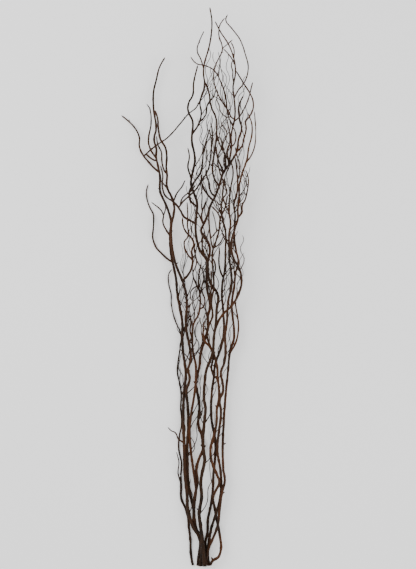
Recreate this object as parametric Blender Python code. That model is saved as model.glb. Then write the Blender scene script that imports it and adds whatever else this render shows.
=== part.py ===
"""A loose bunch of leafless curly willow stems, cut square at the foot and lying on a table.

The stems lie along +Y with their cut ends at -Y, and the table is at z = 0. Every stem is one
closed solid: its leader, its forks and its side twigs are tubes swept through hand-picked points,
and each tube starts on the middle line of the one that it grows from, so that they fuse.
The points give each stem's course as seen from above. Its height over the table is worked out
here: each limb is laid over or under the limbs that it crosses, with a small gap, and bends
smoothly between them.
"""
import math
import random
from dataclasses import dataclass

import bmesh
import bpy
import numpy as np

# Driving dimensions, in metres: the bunch, the gap kept where limbs cross, the side twigs, and
# the length over which a stem's curl is told from its lean
BUNCH_LENGTH = 1.395
GAP = 0.0001
TWIG_DIAMETERS = (0.0030, 0.0018)
TWIG_LENGTHS = (0.06, 0.19)
TWIG_WAVES = (0.050, 0.090)
TWIG_SPACING = 0.080
CORKSCREW_LENGTH = 0.16

# Side twigs: the angle they leave at in degrees, the swing of their curl in radians, their rise
# or fall over the table as a slope, and how far along their parent they may start
TWIG_LEANS = (14, 42)
TWIG_CURLS = (0.25, 0.60)
TWIG_SLOPES = (-0.30, 0.40)
TWIG_PLACES = (0.10, 0.95)
TWIG_TRIES = 12

# A twig reaches its full curl after this share of its length, its lean fades with this power, and
# its rise or fall ends at this share of its slope
TWIG_CURL_START = 1 / 3
TWIG_LEAN_FADE = 1.5
TWIG_SLOPE_END = 0.5

# A stem curls like a corkscrew: how deep it is as a share of its sideways sway, and the shares of
# its length by which the depth comes later, over which it fades in, and that its heading is
# taken over
CORKSCREW_DEPTH = 0.8
CORKSCREW_LAG = 1 / 6
CORKSCREW_FADE = 1 / 4
HEADING_SHARE = 1 / 5

# A limb's radius at its root as a share of its parent's, so that it starts inside it, and how
# much faster than evenly it thins and a leader rises
ROOT_SHARE = 0.8
TAPER_POWER = 0.72
LEADER_RISE_POWER = 1.4

# How far round its root a limb may lie against its parent: a length and a share of the radius
FORK_REACH = (0.012, 6.0)
TWIG_REACH = (0.008, 5.0)

# How closely limbs are sampled and drawn, and how much of a limb's underside the table flattens
SAMPLE_SPACING = 0.004
COURSE_TOLERANCE = 0.0010
FLAT_DEPTH = 0.0003

# Photo pixels: the rows of the highest tip and of the cut ends, and the column and row of the
# bunch's middle, which is x = y = 0
TIP_ROW = 8.4
FOOT_ROW = 566.6
MIDDLE_COLUMN = 188.31
MIDDLE_ROW = 287.75
PIXEL = BUNCH_LENGTH / (FOOT_ROW - TIP_ROW)

# How thickly side twigs grow: shares of the bunch's length, and how dense they are there
TWIG_DENSITY = ((0.05, 0.15, 0.40, 0.50, 0.80, 0.90), (0.0, 0.30, 0.45, 1.0, 1.0, 0.5))
TWIGS_END = 0.93

# The heart of the bunch that side twigs stay in: shares of its length, and x of its two edges
HEART_SHARES = (0.0, 0.26, 0.42, 0.60, 0.78, 0.85, 1.0)
HEART_LEFT = (0.0, -0.022, -0.030, -0.020, 0.014, 0.032, 0.04)
HEART_RIGHT = (0.07, 0.092, 0.122, 0.148, 0.158, 0.150, 0.12)

LEADER_SIDES = 5
FORK_SIDES = 4
TWIG_SIDES = 3
SEED = 11

# How many turns a limb's heights are worked over, how many of them may still change which side
# of another limb it passes, and how many at the end only clear it and smooth nothing
LAY_TURNS = 140
SIDE_TURNS = 40
CLEAR_TURNS = 12

# On each turn, how much of a ring's shift its two neighbours take on, and how much of it stays
SHIFT_SPREAD = 0.5
SHIFT_KEPT = 0.96

# How far short of its gap a limb may stay and still count as laid
LAY_MISS = 0.00005


@dataclass
class Course:
    """One limb: diameters at root and tip and the tip's height in mm, photo points, foot height."""

    root_diameter: float
    tip_diameter: float
    tip_height: float
    points: list
    foot_height: float = 4.0


@dataclass
class Limb:
    """A limb laid in place: ring centres and radii along it, and its number of sides."""

    rings: np.ndarray
    radii: np.ndarray
    sides: int
    stem: int


# The courses of the stems, from the bottom layer of the bunch up; each stem's leader comes first
COURSES = {
    "stem_slim_left": (
        Course(6.4, 3.9, 1, [
            (192.7, 566.3), (190.5, 552), (190.2, 539), (188.6, 527), (187.5, 516), (184.5, 507),
            (181.3, 500), (181.0, 490), (180.7, 476)], 1.0),
        Course(3.2, 2.1, 10, [
            (180.7, 476), (181.4, 464), (178.6, 450), (179.4, 436), (181.6, 424), (180.6, 410),
            (181.0, 395), (180.2, 387), (177.6, 376), (178.2, 364),
            (180.2, 347), (180.7, 334), (177.5, 327), (173.1, 314), (171.2, 304), (171.0, 295),
            (168.3, 282), (168.8, 273.6), (172.0, 269)]),
        Course(2.4, 1.8, 24, [
            (180.9, 484), (178.0, 474), (178.8, 462), (176.4, 452)]),
    ),
    "stem_left_inner": (
        Course(8.3, 3.0, 70, [
            (198, 566.5), (199, 555), (200.3, 541), (197.1, 533), (194.2, 524), (193.9, 512),
            (190.5, 496.5), (188.9, 488), (187.9, 469), (187.0, 449), (188.3, 428), (187.1, 399),
            (186.4, 391), (189.7, 379), (188.0, 369), (190.3, 362), (189.4, 346), (186.3, 330),
            (185.8, 320), (186.8, 310), (186.1, 294), (182.3, 280.6), (177.0, 268), (172.6, 250),
            (171.2, 228), (174.2, 207), (172.0, 198), (167.0, 187), (167.2, 175), (166.3, 166),
            (166.9, 156), (165.5, 148), (160.7, 140), (158.2, 125), (157.6, 118), (155.3, 111)], 2.5),
        Course(5.1, 2.4, 112, [
            (182.9, 280.6), (188.3, 274.6), (192.0, 267), (192.6, 259), (191.8, 251),
            (194.0, 243.8), (191.4, 238), (186.6, 233), (183.7, 227.5), (182.6, 218)]),
        Course(2.9, 2.0, 128, [
            (192.3, 260), (188.2, 255), (184.6, 247), (184.5, 242), (188.0, 237), (187.6, 226),
            (187.9, 215), (187.3, 203)]),
        Course(3.2, 2.0, 96, [
            (166.4, 174), (163.9, 169.5), (162.0, 161), (161.3, 151.6), (158.3, 146),
            (156.8, 137)]),
    ),
    "stem_middle_fork": (
        Course(8.5, 2.4, 34, [
            (203, 566.5), (202.5, 550), (200.3, 540), (196.4, 530), (193.9, 517), (194.6, 506),
            (196.1, 489), (197.4, 480), (196.2, 472), (198.0, 462), (203.0, 449), (201.6, 436),
            (198.2, 425), (199.4, 410), (197.6, 394), (195.6, 384.5), (198.9, 370), (200.6, 354),
            (205.2, 338.6), (208.2, 326), (207.8, 317), (210.0, 307), (206.8, 287), (207.3, 265),
            (209.7, 247), (206.4, 239), (201.0, 231), (203.7, 224), (207.6, 215), (210.2, 206),
            (215.7, 195), (219.2, 186), (222.7, 174), (228.6, 165), (236.6, 152), (238.4, 140),
            (241.6, 129), (239.4, 118), (238.8, 106), (243.3, 95.6)]),
        Course(6.8, 2.1, 16, [
            (196.1, 489), (194.0, 474), (191.4, 455), (189.6, 438), (191.0, 420), (194.4, 391),
            (195.8, 378), (195.8, 366), (193.0, 352), (192.3, 336), (193.6, 324), (198.6, 314),
            (200.2, 300), (198.3, 280), (201.3, 263)]),
        Course(5.1, 2.2, 62, [
            (236.6, 152), (241.4, 147), (244.0, 138), (246.2, 129), (245.6, 122), (250.0, 116),
            (253.0, 109), (252.8, 101), (248.6, 91.5), (243.3, 83.5), (236.0, 71.5)]),
        Course(5.6, 2.1, 92, [
            (228.6, 165), (230.4, 155), (231.5, 145), (231.0, 136), (232.8, 127), (234.5, 120),
            (234.2, 100), (232.9, 90), (235.4, 72), (233.3, 58), (228.1, 45), (220.8, 34),
            (215.0, 23)]),
        Course(3.7, 2.0, 118, [
            (234.4, 98.7), (238, 91), (243.8, 84), (248, 68), (245.4, 57), (239.1, 40),
            (232.3, 31), (225.6, 22), (227.4, 17)]),
        Course(3.2, 2.0, 48, [
            (235.0, 121.7), (239.6, 115), (244.6, 108), (248.6, 97), (252.7, 82.5)]),
        Course(3.9, 2.0, 30, [
            (232.6, 126), (228.4, 117), (227.0, 109), (225.6, 97), (220.8, 82.5), (213.5, 70),
            (206.6, 66), (195.7, 63), (190.5, 56.5)]),
        Course(3.7, 2.0, 132, [
            (232.6, 119.5), (228.0, 111), (223.8, 105), (215.6, 89), (213.5, 78), (215.2, 68),
            (222.4, 50), (218.8, 37), (219.6, 28), (224.5, 21)]),
        Course(5.9, 2.4, 76, [
            (218.9, 186), (214.6, 179), (212.7, 172), (213.4, 160), (216.3, 138), (215.6, 117),
            (211.0, 106.5), (208.8, 92), (204.2, 80), (204.0, 66), (207.0, 56), (210.2, 42),
            (212.0, 24), (209.8, 8.6)]),
        Course(2.9, 1.8, 104, [
            (203.8, 69), (200.4, 59), (197.2, 52), (199.4, 43), (204, 33)]),
        Course(2.9, 1.8, 12, [
            (192.3, 339), (190.0, 331), (191.3, 322), (188.6, 312), (191.0, 303)]),
    ),
    "stem_front": (
        Course(7.3, 2.1, 58, [
            (207.8, 566.6), (206.5, 553), (205.4, 543), (207.2, 535), (207.4, 524), (210.8, 506),
            (213.0, 489), (213.4, 475), (215.2, 457), (215.2, 440), (212.3, 426), (211.8, 403),
            (212.3, 387), (213.9, 377), (214.8, 366), (217.8, 357), (220.9, 348), (223.5, 336),
            (223.6, 318), (221.9, 288), (225.0, 268), (225.4, 249), (225.6, 232), (223.0, 222),
            (221.6, 207), (223.2, 198), (226.6, 193), (225.0, 186), (224.1, 179)]),
        Course(6.3, 2.4, 86, [
            (213.9, 377), (211.4, 368), (213.2, 357), (210.2, 346), (207.4, 338), (208.8, 326),
            (212.6, 316), (211.2, 304), (213.6, 290), (212.9, 271), (212.9, 250), (216.4, 240),
            (219.5, 228), (220.2, 219), (224.3, 210), (227.4, 196)]),
        Course(3.2, 2.0, 110, [
            (213.3, 248), (217.3, 246), (221.4, 241), (223.8, 234)]),
    ),
    "stem_left_outer": (
        Course(9.0, 2.2, 22, [
            (200.3, 566.6), (202, 552), (199.6, 538), (194.6, 530), (190.5, 520), (187.6, 508),
            (187.0, 496), (185.4, 480), (184.4, 464), (184.2, 440), (183.2, 412), (183.8, 395),
            (185.7, 373), (183.7, 358), (182.2, 340), (182.4, 324), (179.9, 309), (177.0, 292),
            (175.6, 276), (171.4, 257), (169.8, 238), (170.6, 219), (165.3, 203.6), (160.0, 191),
            (160.0, 178), (157.6, 164), (155.9, 156), (156.2, 148), (154.0, 139), (156.0, 129),
            (154.2, 116), (153.2, 104), (153.4, 92), (156.8, 77), (159.4, 67), (165.0, 57)], 14),
        Course(5.4, 2.1, 0.5, [
            (158.8, 172), (152.7, 166.5), (147.0, 160), (142.4, 154), (139.2, 146), (139.4, 138),
            (136.3, 130), (131.7, 124), (126.2, 119), (121.1, 114.8)]),
        Course(4.4, 2.0, 88, [
            (144.0, 155.5), (150.6, 149.5), (156.6, 145), (165.9, 139), (173.6, 131),
            (183.3, 120.5), (190.0, 113), (197.3, 107), (200.2, 100), (202.6, 93), (205.6, 87)]),
        Course(3.4, 1.8, 40, [
            (155.9, 158), (150.4, 149), (148.4, 142), (149.2, 134), (150.7, 127), (150.8, 116),
            (150.0, 109), (146.6, 104)]),
        Course(3.7, 1.8, 0.5, [
            (171.8, 262), (165.4, 256), (156.8, 248.6), (152.6, 237), (153.4, 225),
            (153.0, 214), (148.6, 205), (146.2, 191), (147.9, 184)]),
        Course(3.2, 1.8, 44, [
            (169.9, 236), (162.8, 222), (163.2, 214), (157.6, 208), (151.3, 202)]),
        Course(2.9, 1.8, 44, [
            (184.2, 443), (177.4, 438), (175.6, 433), (170.8, 430.4), (167.7, 427)]),
    ),
    "stem_middle_thick": (
        Course(9.4, 2.2, 100, [
            (204.4, 566.6), (203.5, 552), (202.4, 540), (200.3, 524), (199.2, 513), (201.6, 498),
            (200.8, 482), (202.6, 471), (204.4, 463), (203.0, 447), (204.2, 423), (205.6, 408),
            (204.0, 398), (204.6, 385), (206.9, 368), (210.6, 359), (213.0, 351), (213.6, 340),
            (216.0, 322), (217.2, 305), (218.4, 299), (216.2, 291), (210.8, 284), (208.0, 274),
            (206.8, 260), (201.4, 253.2), (197.8, 244), (195.6, 228), (196.5, 214), (197.2, 204),
            (194.2, 194), (191.0, 184), (193.0, 172), (195.0, 160), (191.9, 142), (192.4, 121),
            (188.0, 111), (188.8, 104), (192.3, 98), (193.3, 87), (197.8, 66.8)], 22),
        Course(6.6, 2.2, 70, [
            (195.7, 224), (190.6, 221), (184.4, 217.4), (179.4, 209), (173.6, 202), (165.4, 196),
            (162.4, 186), (163.0, 176), (160.6, 166)]),
        Course(3.4, 2.0, 116, [
            (173.6, 202), (177.2, 193.5), (182.0, 187.6), (185.4, 181)]),
        Course(4.6, 2.1, 126, [
            (178.6, 208), (183, 202), (188.6, 197), (194.6, 191.6), (201.4, 181.6), (206.6, 174),
            (209.4, 160), (211.4, 149), (212.4, 133), (210.6, 124)]),
        Course(4.4, 2.1, 84, [
            (196.9, 207), (191.0, 201.6), (189.3, 193), (193.4, 184), (200.4, 173.4),
            (202.7, 162), (203.4, 153), (206.0, 143), (209.6, 130)]),
        Course(3.4, 1.8, 122, [
            (191.4, 179), (188.0, 167), (189.5, 157), (188.0, 149)]),
        Course(3.7, 2.0, 138, [
            (192.1, 135), (197.8, 127), (201.2, 117), (200.2, 103), (204.2, 92), (204.2, 82)]),
        Course(2.9, 1.8, 66, [
            (199.4, 124), (206.2, 115), (207.6, 105), (214.0, 97), (216.0, 90)]),
    ),
    "stem_right_inner": (
        Course(7.3, 2.1, 112, [
            (209, 566.6), (207.8, 553), (208.8, 543), (210.4, 533), (213.5, 523), (217.6, 507),
            (220.4, 497), (221.3, 486), (220.2, 468), (217.4, 452), (218.4, 436), (220.6, 418),
            (220.8, 409), (219.6, 401), (223.2, 390), (222.0, 380), (220.8, 372), (224.6, 362),
            (225.4, 351), (225.0, 338), (227.0, 320), (227.6, 305), (230.9, 287), (231.4, 275),
            (229.2, 261), (229.2, 246), (228.9, 234), (230.4, 225), (229.0, 212), (230.4, 190),
            (232.8, 171), (230.6, 162)], 13),
        Course(3.7, 2.0, 132, [
            (229.1, 214), (225.6, 206), (222.4, 196), (223.4, 184), (219.4, 172), (217.8, 158),
            (221.6, 148), (219.8, 138)]),
    ),
    "stem_right_outer": (
        Course(7.0, 2.1, 10, [
            (205.3, 566.6), (206.6, 558), (208.8, 548), (212.2, 540), (216.8, 529), (219.2, 514),
            (220.6, 501), (222.4, 491), (224.8, 481), (223.2, 468), (223.2, 446), (224.2, 416),
            (225.4, 398), (228.0, 372), (230.4, 350), (233.9, 339), (234.0, 328), (232.8, 318),
            (231.8, 304), (234.2, 288), (235.4, 274), (238.4, 262), (236.2, 251), (234.5, 238),
            (234.4, 226), (235.2, 214), (234.0, 206), (237.2, 192), (237.4, 176), (235.3, 157)], 31),
        Course(3.7, 1.8, 30, [
            (230.0, 353), (235.6, 343), (238.5, 327), (237.0, 313), (235.4, 302), (238.0, 291)]),
    ),
    "stem_bowed": (
        Course(7.1, 2.1, 88, [
            (210.4, 565.3), (213.2, 560.6), (218.2, 557.4), (220.9, 550), (220.4, 540),
            (218.0, 527), (214.6, 508), (213.0, 497), (215.6, 491), (219.4, 482.6), (217.0, 475),
            (212.0, 463), (210.3, 452), (213.2, 438), (216.3, 425), (216.8, 410), (219.3, 396),
            (217.8, 380), (217.0, 366), (213.6, 353), (213.8, 340), (217.0, 324), (224.0, 313),
            (231.7, 305.6), (237.0, 297), (240.4, 288.6), (241.2, 276), (238.4, 267),
            (232.6, 256), (231.2, 245), (234.4, 230), (237.8, 219), (237.6, 211), (239.0, 199),
            (239.0, 187), (242.0, 174), (246.0, 163), (249.0, 146), (251.4, 137), (251.4, 124),
            (247.6, 114)], 21),
        Course(5.1, 2.4, 96, [
            (213.9, 354), (210.2, 347), (204.6, 340.4), (203.2, 330), (204.8, 320)]),
        Course(3.9, 2.1, 26, [
            (213.2, 560.6), (211.2, 557.4)]),
        Course(3.2, 1.8, 44, [
            (237.9, 218), (241.8, 213), (242.0, 206), (245.4, 199), (247.2, 188), (248.2, 178),
            (245.4, 170)]),
        Course(3.4, 1.8, 116, [
            (245.6, 164), (250.6, 157), (253.6, 150), (255.4, 139), (254.6, 125), (254.0, 113)]),
    ),
}

# The bark's colour on each stem, from near black to the red-brown of the young ones
BARK_COLOURS = {
    "stem_slim_left": (0.035, 0.021, 0.014),
    "stem_left_inner": (0.042, 0.023, 0.015),
    "stem_middle_fork": (0.085, 0.033, 0.017),
    "stem_front": (0.060, 0.028, 0.016),
    "stem_left_outer": (0.050, 0.026, 0.016),
    "stem_middle_thick": (0.046, 0.024, 0.015),
    "stem_right_inner": (0.055, 0.027, 0.016),
    "stem_right_outer": (0.095, 0.040, 0.018),
    "stem_bowed": (0.120, 0.050, 0.020),
}
BARK_ROUGHNESS = 0.55

# Edges between faces that turn more than this many degrees stay sharp
SHARP_ANGLE = 75


def curve_through(points):
    """Sample a smooth curve through the given points about every SAMPLE_SPACING metres."""
    points = np.array(points, dtype=float)
    chord = np.append(0.0, np.cumsum(np.linalg.norm(np.diff(points, axis=0), axis=1)))
    slope = np.gradient(points, chord, axis=0)
    place = np.linspace(0.0, chord[-1], max(3, int(chord[-1] / SAMPLE_SPACING)))
    left = np.clip(np.searchsorted(chord, place, side="right") - 1, 0, len(chord) - 2)
    span = (chord[left + 1] - chord[left])[:, None]
    t = (place - chord[left])[:, None] / span
    start = (1 + 2 * t) * (1 - t) ** 2 * points[left] + t * (1 - t) ** 2 * span * slope[left]
    end = t * t * (3 - 2 * t) * points[left + 1] - t * t * (1 - t) * span * slope[left + 1]
    return start + end


def distance_along(path):
    """Give each point's distance from the path's start."""
    return np.append(0.0, np.cumsum(np.linalg.norm(np.diff(path, axis=0), axis=1)))


def needed_points(path, tolerance):
    """List the points that keep a path's shape within the tolerance."""
    kept = {0, len(path) - 1}
    spans = [(0, len(path) - 1)]
    while spans:
        first, last = spans.pop()
        chord = path[last] - path[first]
        t = np.clip((path[first:last + 1] - path[first]) @ chord / (chord @ chord), 0, 1)
        off = np.linalg.norm(path[first:last + 1] - path[first] - t[:, None] * chord, axis=1)
        worst = first + int(off.argmax())
        if off.max() > tolerance and first < worst < last:
            kept.add(worst)
            spans += [(first, worst), (worst, last)]
    return sorted(kept)


def nearest_on(limb, point):
    """Find the spot on a limb's middle line under a point, and the limb's radius there."""
    start, end = limb.rings[:-1], limb.rings[1:]
    chord = end[:, :2] - start[:, :2]
    t = np.clip(((point - start[:, :2]) * chord).sum(1) / (chord ** 2).sum(1), 0, 1)
    spots = start + t[:, None] * (end - start)
    index = int(np.linalg.norm(spots[:, :2] - point, axis=1).argmin())
    radius = limb.radii[index] * (1 - t[index]) + limb.radii[index + 1] * t[index]
    return spots[index], radius


def corkscrew_heights(path):
    """Give a limb the third dimension of its curl: its sideways sway, a quarter turn later."""
    along = distance_along(path)
    if along[-1] < CORKSCREW_LENGTH:
        return np.zeros(len(path))
    width = max(3, int(CORKSCREW_LENGTH / SAMPLE_SPACING)) | 1
    padded = np.pad(path, ((width // 2, width // 2), (0, 0)), mode="reflect", reflect_type="odd")
    mean = np.stack([np.convolve(padded[:, k], np.ones(width) / width, "valid") for k in (0, 1)], 1)
    heading = np.gradient(mean, axis=0)
    heading /= np.linalg.norm(heading, axis=1)[:, None]
    sway = (path - mean)[:, 0] * heading[:, 1] - (path - mean)[:, 1] * heading[:, 0]
    later = np.interp(along + CORKSCREW_LENGTH * CORKSCREW_LAG, along, sway)
    fade = np.minimum(1, np.minimum(along, along[-1] - along) / (CORKSCREW_LENGTH * CORKSCREW_FADE))
    return CORKSCREW_DEPTH * fade * later


class Bunch:
    """The limbs laid so far, and the samples of them that the next limb has to clear."""

    def __init__(self):
        self.limbs = []
        self.samples = np.zeros((0, 3))
        self.sample_radii = np.zeros(0)
        self.sample_limbs = np.zeros(0, dtype=int)
        self.sample_stems = np.zeros(0, dtype=int)

    def contacts(self, samples, radii, stem, root, root_reach):
        """List where samples meet laid limbs seen from above, and the height to keep there."""
        apart = np.linalg.norm(samples[:, None, :2] - self.samples[None, :, :2], axis=2)
        reach = radii[:, None] + self.sample_radii[None, :] + GAP
        apart = np.maximum(apart - SAMPLE_SPACING / 2, 0)
        near = apart < reach
        if root is not None:
            own = (self.sample_stems == stem) & (np.linalg.norm(self.samples - root, axis=1)
                                                 < root_reach)
            young = np.linalg.norm(samples[:, :2] - root[:2], axis=1) < root_reach
            near &= ~(young[:, None] & own[None, :])
        here, other = np.nonzero(near)
        keep = np.sqrt(reach[here, other] ** 2 - apart[here, other] ** 2)
        return here, other, keep, self.crossings(here, other)

    def crossings(self, here, other):
        """Number the crossings that the contacts belong to, one for each run along a limb."""
        limb = self.sample_limbs[other]
        order = np.lexsort((here, limb))
        new_run = (np.diff(here[order]) > 2) | (np.diff(limb[order]) != 0)
        number = np.zeros(len(here), dtype=int)
        number[order] = np.append(0, np.cumsum(new_run))[:len(here)]
        return number

    def lay(self, rings, radii, sides, stem, root=None, root_reach=0.0, over_all=False):
        """Bend a limb's heights clear of the laid limbs; return it and how much it still lacks."""
        part, share = sample_places(rings)
        radius = radii[part] * (1 - share) + radii[part + 1] * share
        course = rings[part] * (1 - share[:, None]) + rings[part + 1] * share[:, None]
        here, other, keep, crossing = self.contacts(course, radius, stem, root, root_reach)
        other_height = self.samples[other, 2]
        floor = radius * math.cos(math.pi / sides)
        wish = rings[:, 2].copy()
        shift = np.zeros(len(rings))
        for turn in range(LAY_TURNS):
            height = (wish + shift)[part] * (1 - share) + (wish + shift)[part + 1] * share
            if turn < SIDE_TURNS:
                side = sides_of(height[here] - other_height, crossing, over_all)
            lack = keep - side * (height[here] - other_height)
            up = np.maximum(floor - height, 0)
            down = np.zeros(len(height))
            np.maximum.at(up, here, np.where(side > 0, lack, 0))
            np.maximum.at(down, here, np.where(side < 0, lack, 0))
            rise = np.zeros(len(rings))
            fall = np.zeros(len(rings))
            for end in (part, part + 1):
                np.maximum.at(rise, end, up)
                np.maximum.at(fall, end, down)
            shift += rise - fall
            if root is not None:
                shift[0] = 0
            if turn < LAY_TURNS - CLEAR_TURNS:
                shift = eased(shift, root is None)
        rings = np.column_stack([rings[:, :2], wish + shift])
        height = rings[part, 2] * (1 - share) + rings[part + 1, 2] * share
        lack = keep - side * (height[here] - other_height)
        worst = max(lack.max(initial=0), (floor - height).max())
        return Limb(rings, radii, sides, stem), worst

    def add(self, limb):
        """Keep a laid limb, for the next ones to clear."""
        part, share = sample_places(limb.rings)
        share = share[:, None]
        samples = limb.rings[part] * (1 - share) + limb.rings[part + 1] * share
        radii = limb.radii[part] * (1 - share[:, 0]) + limb.radii[part + 1] * share[:, 0]
        self.samples = np.concatenate([self.samples, samples])
        self.sample_radii = np.append(self.sample_radii, radii)
        self.sample_limbs = np.append(self.sample_limbs, np.full(len(radii), len(self.limbs)))
        self.sample_stems = np.append(self.sample_stems, np.full(len(radii), limb.stem))
        self.limbs.append(limb)


def sample_places(rings):
    """Place samples along a limb: the ring before each one, and the share of the way to the next."""
    along = distance_along(rings[:, :2])
    places = np.linspace(0, along[-1], max(3, int(along[-1] / SAMPLE_SPACING) + 2))
    part = np.clip(np.searchsorted(along, places, side="right") - 1, 0, len(along) - 2)
    return part, (places - along[part]) / (along[part + 1] - along[part])


def sides_of(above, crossing, over_all):
    """Say for each contact whether the new limb passes over (1) or under (-1) the laid one."""
    if over_all or len(above) == 0:
        return np.ones(len(above))
    mean = np.bincount(crossing, above) / np.maximum(np.bincount(crossing), 1)
    return np.where(mean[crossing] >= 0, 1.0, -1.0)


def eased(shift, loose_foot):
    """Spread a limb's shift in height along it, as a springy stem does, and let it sink back."""
    spread = shift.copy()
    beside = 0.5 * (shift[:-2] + shift[2:])
    spread[1:-1] = (1 - SHIFT_SPREAD) * shift[1:-1] + SHIFT_SPREAD * beside
    spread[-1] = 0.5 * (shift[-1] + shift[-2])
    if loose_foot:
        spread[0] = 0.5 * (shift[0] + shift[1])
    return SHIFT_KEPT * spread


def on_table(points):
    """Turn photo points into metres on the table, with +Y from the cut ends to the tips."""
    points = np.array(points, dtype=float)
    return np.column_stack([points[:, 0] - MIDDLE_COLUMN, MIDDLE_ROW - points[:, 1]]) * PIXEL


def tapered(along, root_radius, tip_radius):
    """Give the radii along a limb, which thins a little faster towards its tip."""
    t = along / along[-1]
    return tip_radius + (root_radius - tip_radius) * (1 - t) ** TAPER_POWER


def lay_course(bunch, course, stem, own):
    """Lay one hand-picked limb: a leader if its stem has no limb yet, otherwise a fork."""
    path = curve_through(on_table(course.points))
    heights = corkscrew_heights(path)
    along = distance_along(path)
    tip_height = course.tip_height / 1000
    root_radius = course.root_diameter / 2000
    root, root_reach, foot_height, sides = None, 0.0, course.foot_height / 1000, LEADER_SIDES
    if own:
        parent = min(own, key=lambda limb: np.linalg.norm(nearest_on(limb, path[0])[0][:2]
                                                          - path[0]))
        root, parent_radius = nearest_on(parent, path[0])
        path[0] = root[:2]
        root_radius = min(root_radius, ROOT_SHARE * parent_radius)
        root_reach = FORK_REACH[0] + FORK_REACH[1] * parent_radius
        foot_height, sides = root[2], FORK_SIDES
    rise = (along / along[-1]) ** (1.0 if own else LEADER_RISE_POWER)
    path = np.column_stack([path, foot_height + (tip_height - foot_height) * rise + heights])
    kept = needed_points(path, COURSE_TOLERANCE)
    radii = tapered(along, root_radius, course.tip_diameter / 2000)[kept]
    limb, lack = bunch.lay(path[kept], radii, sides, stem, root, root_reach)
    if lack > LAY_MISS:
        over, over_lack = bunch.lay(path[kept], radii, sides, stem, root, root_reach, True)
        limb = over if over_lack < lack else limb
    return limb


def twig_course(rng, parent):
    """Draw a curly side twig that leaves a limb and leans back towards the way it grows."""
    along = distance_along(parent.rings)
    place = rng.uniform(*TWIG_PLACES) * along[-1]
    root = np.array([np.interp(place, along, parent.rings[:, k]) for k in range(3)])
    radius = np.interp(place, along, parent.radii)
    near = CORKSCREW_LENGTH * HEADING_SHARE
    ahead = np.array([np.interp(place + near, along, parent.rings[:, k]) for k in range(2)])
    behind = np.array([np.interp(place - near, along, parent.rings[:, k]) for k in range(2)])
    growth = math.atan2(*(ahead - behind)[::-1])
    length = rng.uniform(*TWIG_LENGTHS)
    lean = rng.choice((-1, 1)) * math.radians(rng.uniform(*TWIG_LEANS))
    curl = rng.uniform(*TWIG_CURLS)
    wave = rng.uniform(*TWIG_WAVES)
    phase = rng.uniform(0, math.tau)
    slope = rng.uniform(*TWIG_SLOPES)
    upright = (growth + math.pi / 2) / 2
    steps = int(length / SAMPLE_SPACING)
    points = [root]
    for step in range(steps):
        t = step / steps
        bend = curl * min(1, t / TWIG_CURL_START) * math.sin(math.tau * step * SAMPLE_SPACING / wave + phase)
        heading = growth * (1 - t) + upright * t + lean * (1 - t) ** TWIG_LEAN_FADE + bend
        rise = slope * (1 - (1 - TWIG_SLOPE_END) * t)
        points.append(points[-1] + SAMPLE_SPACING * np.array([math.cos(heading),
                                                              math.sin(heading), rise]))
    return np.array(points), radius


def lay_twigs(bunch, stem, own, rng):
    """Grow curly side twigs on a stem, each one where it finds free room inside the bunch."""
    for parent in own:
        share = length_share(parent.rings)
        dense = distance_along(parent.rings)[-1] * float(np.interp(share, *TWIG_DENSITY).mean())
        wanted = int(dense / TWIG_SPACING + rng.random())
        for _ in range(TWIG_TRIES * wanted):
            if wanted == 0:
                break
            path, parent_radius = twig_course(rng, parent)
            if rng.random() > np.interp(length_share(path[:1])[0], *TWIG_DENSITY):
                continue
            kept = needed_points(path, COURSE_TOLERANCE)
            root_radius = min(TWIG_DIAMETERS[0] / 2, ROOT_SHARE * parent_radius)
            radii = tapered(distance_along(path), root_radius, TWIG_DIAMETERS[1] / 2)[kept]
            if not inside_outline(path):
                continue
            twig, lack = bunch.lay(path[kept], radii, TWIG_SIDES, stem, path[0],
                                   TWIG_REACH[0] + TWIG_REACH[1] * parent_radius)
            if lack < LAY_MISS:
                bunch.add(twig)
                wanted -= 1


def length_share(points):
    """Give the share of the bunch's length that lies before each point."""
    return points[:, 1] / BUNCH_LENGTH + 0.5


def inside_outline(points):
    """Say whether a twig stays inside the crowded heart of the bunch seen from above."""
    share = length_share(points)
    left = np.interp(share, HEART_SHARES, HEART_LEFT)
    right = np.interp(share, HEART_SHARES, HEART_RIGHT)
    return bool((points[:, 0] > left).all() and (points[:, 0] < right).all()
                and share.max() < TWIGS_END)


def grow_bunch():
    """Lay every stem: first all leaders, bottom layer up, then the forks, then the twigs."""
    bunch = Bunch()
    own = {name: [] for name in COURSES}
    for chosen in (slice(0, 1), slice(1, None)):
        for stem, (name, courses) in enumerate(COURSES.items()):
            for course in courses[chosen]:
                limb = lay_course(bunch, course, stem, own[name])
                bunch.add(limb)
                own[name].append(limb)
    for stem, name in enumerate(COURSES):
        lay_twigs(bunch, stem, own[name], random.Random(SEED + stem))
    return bunch


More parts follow.
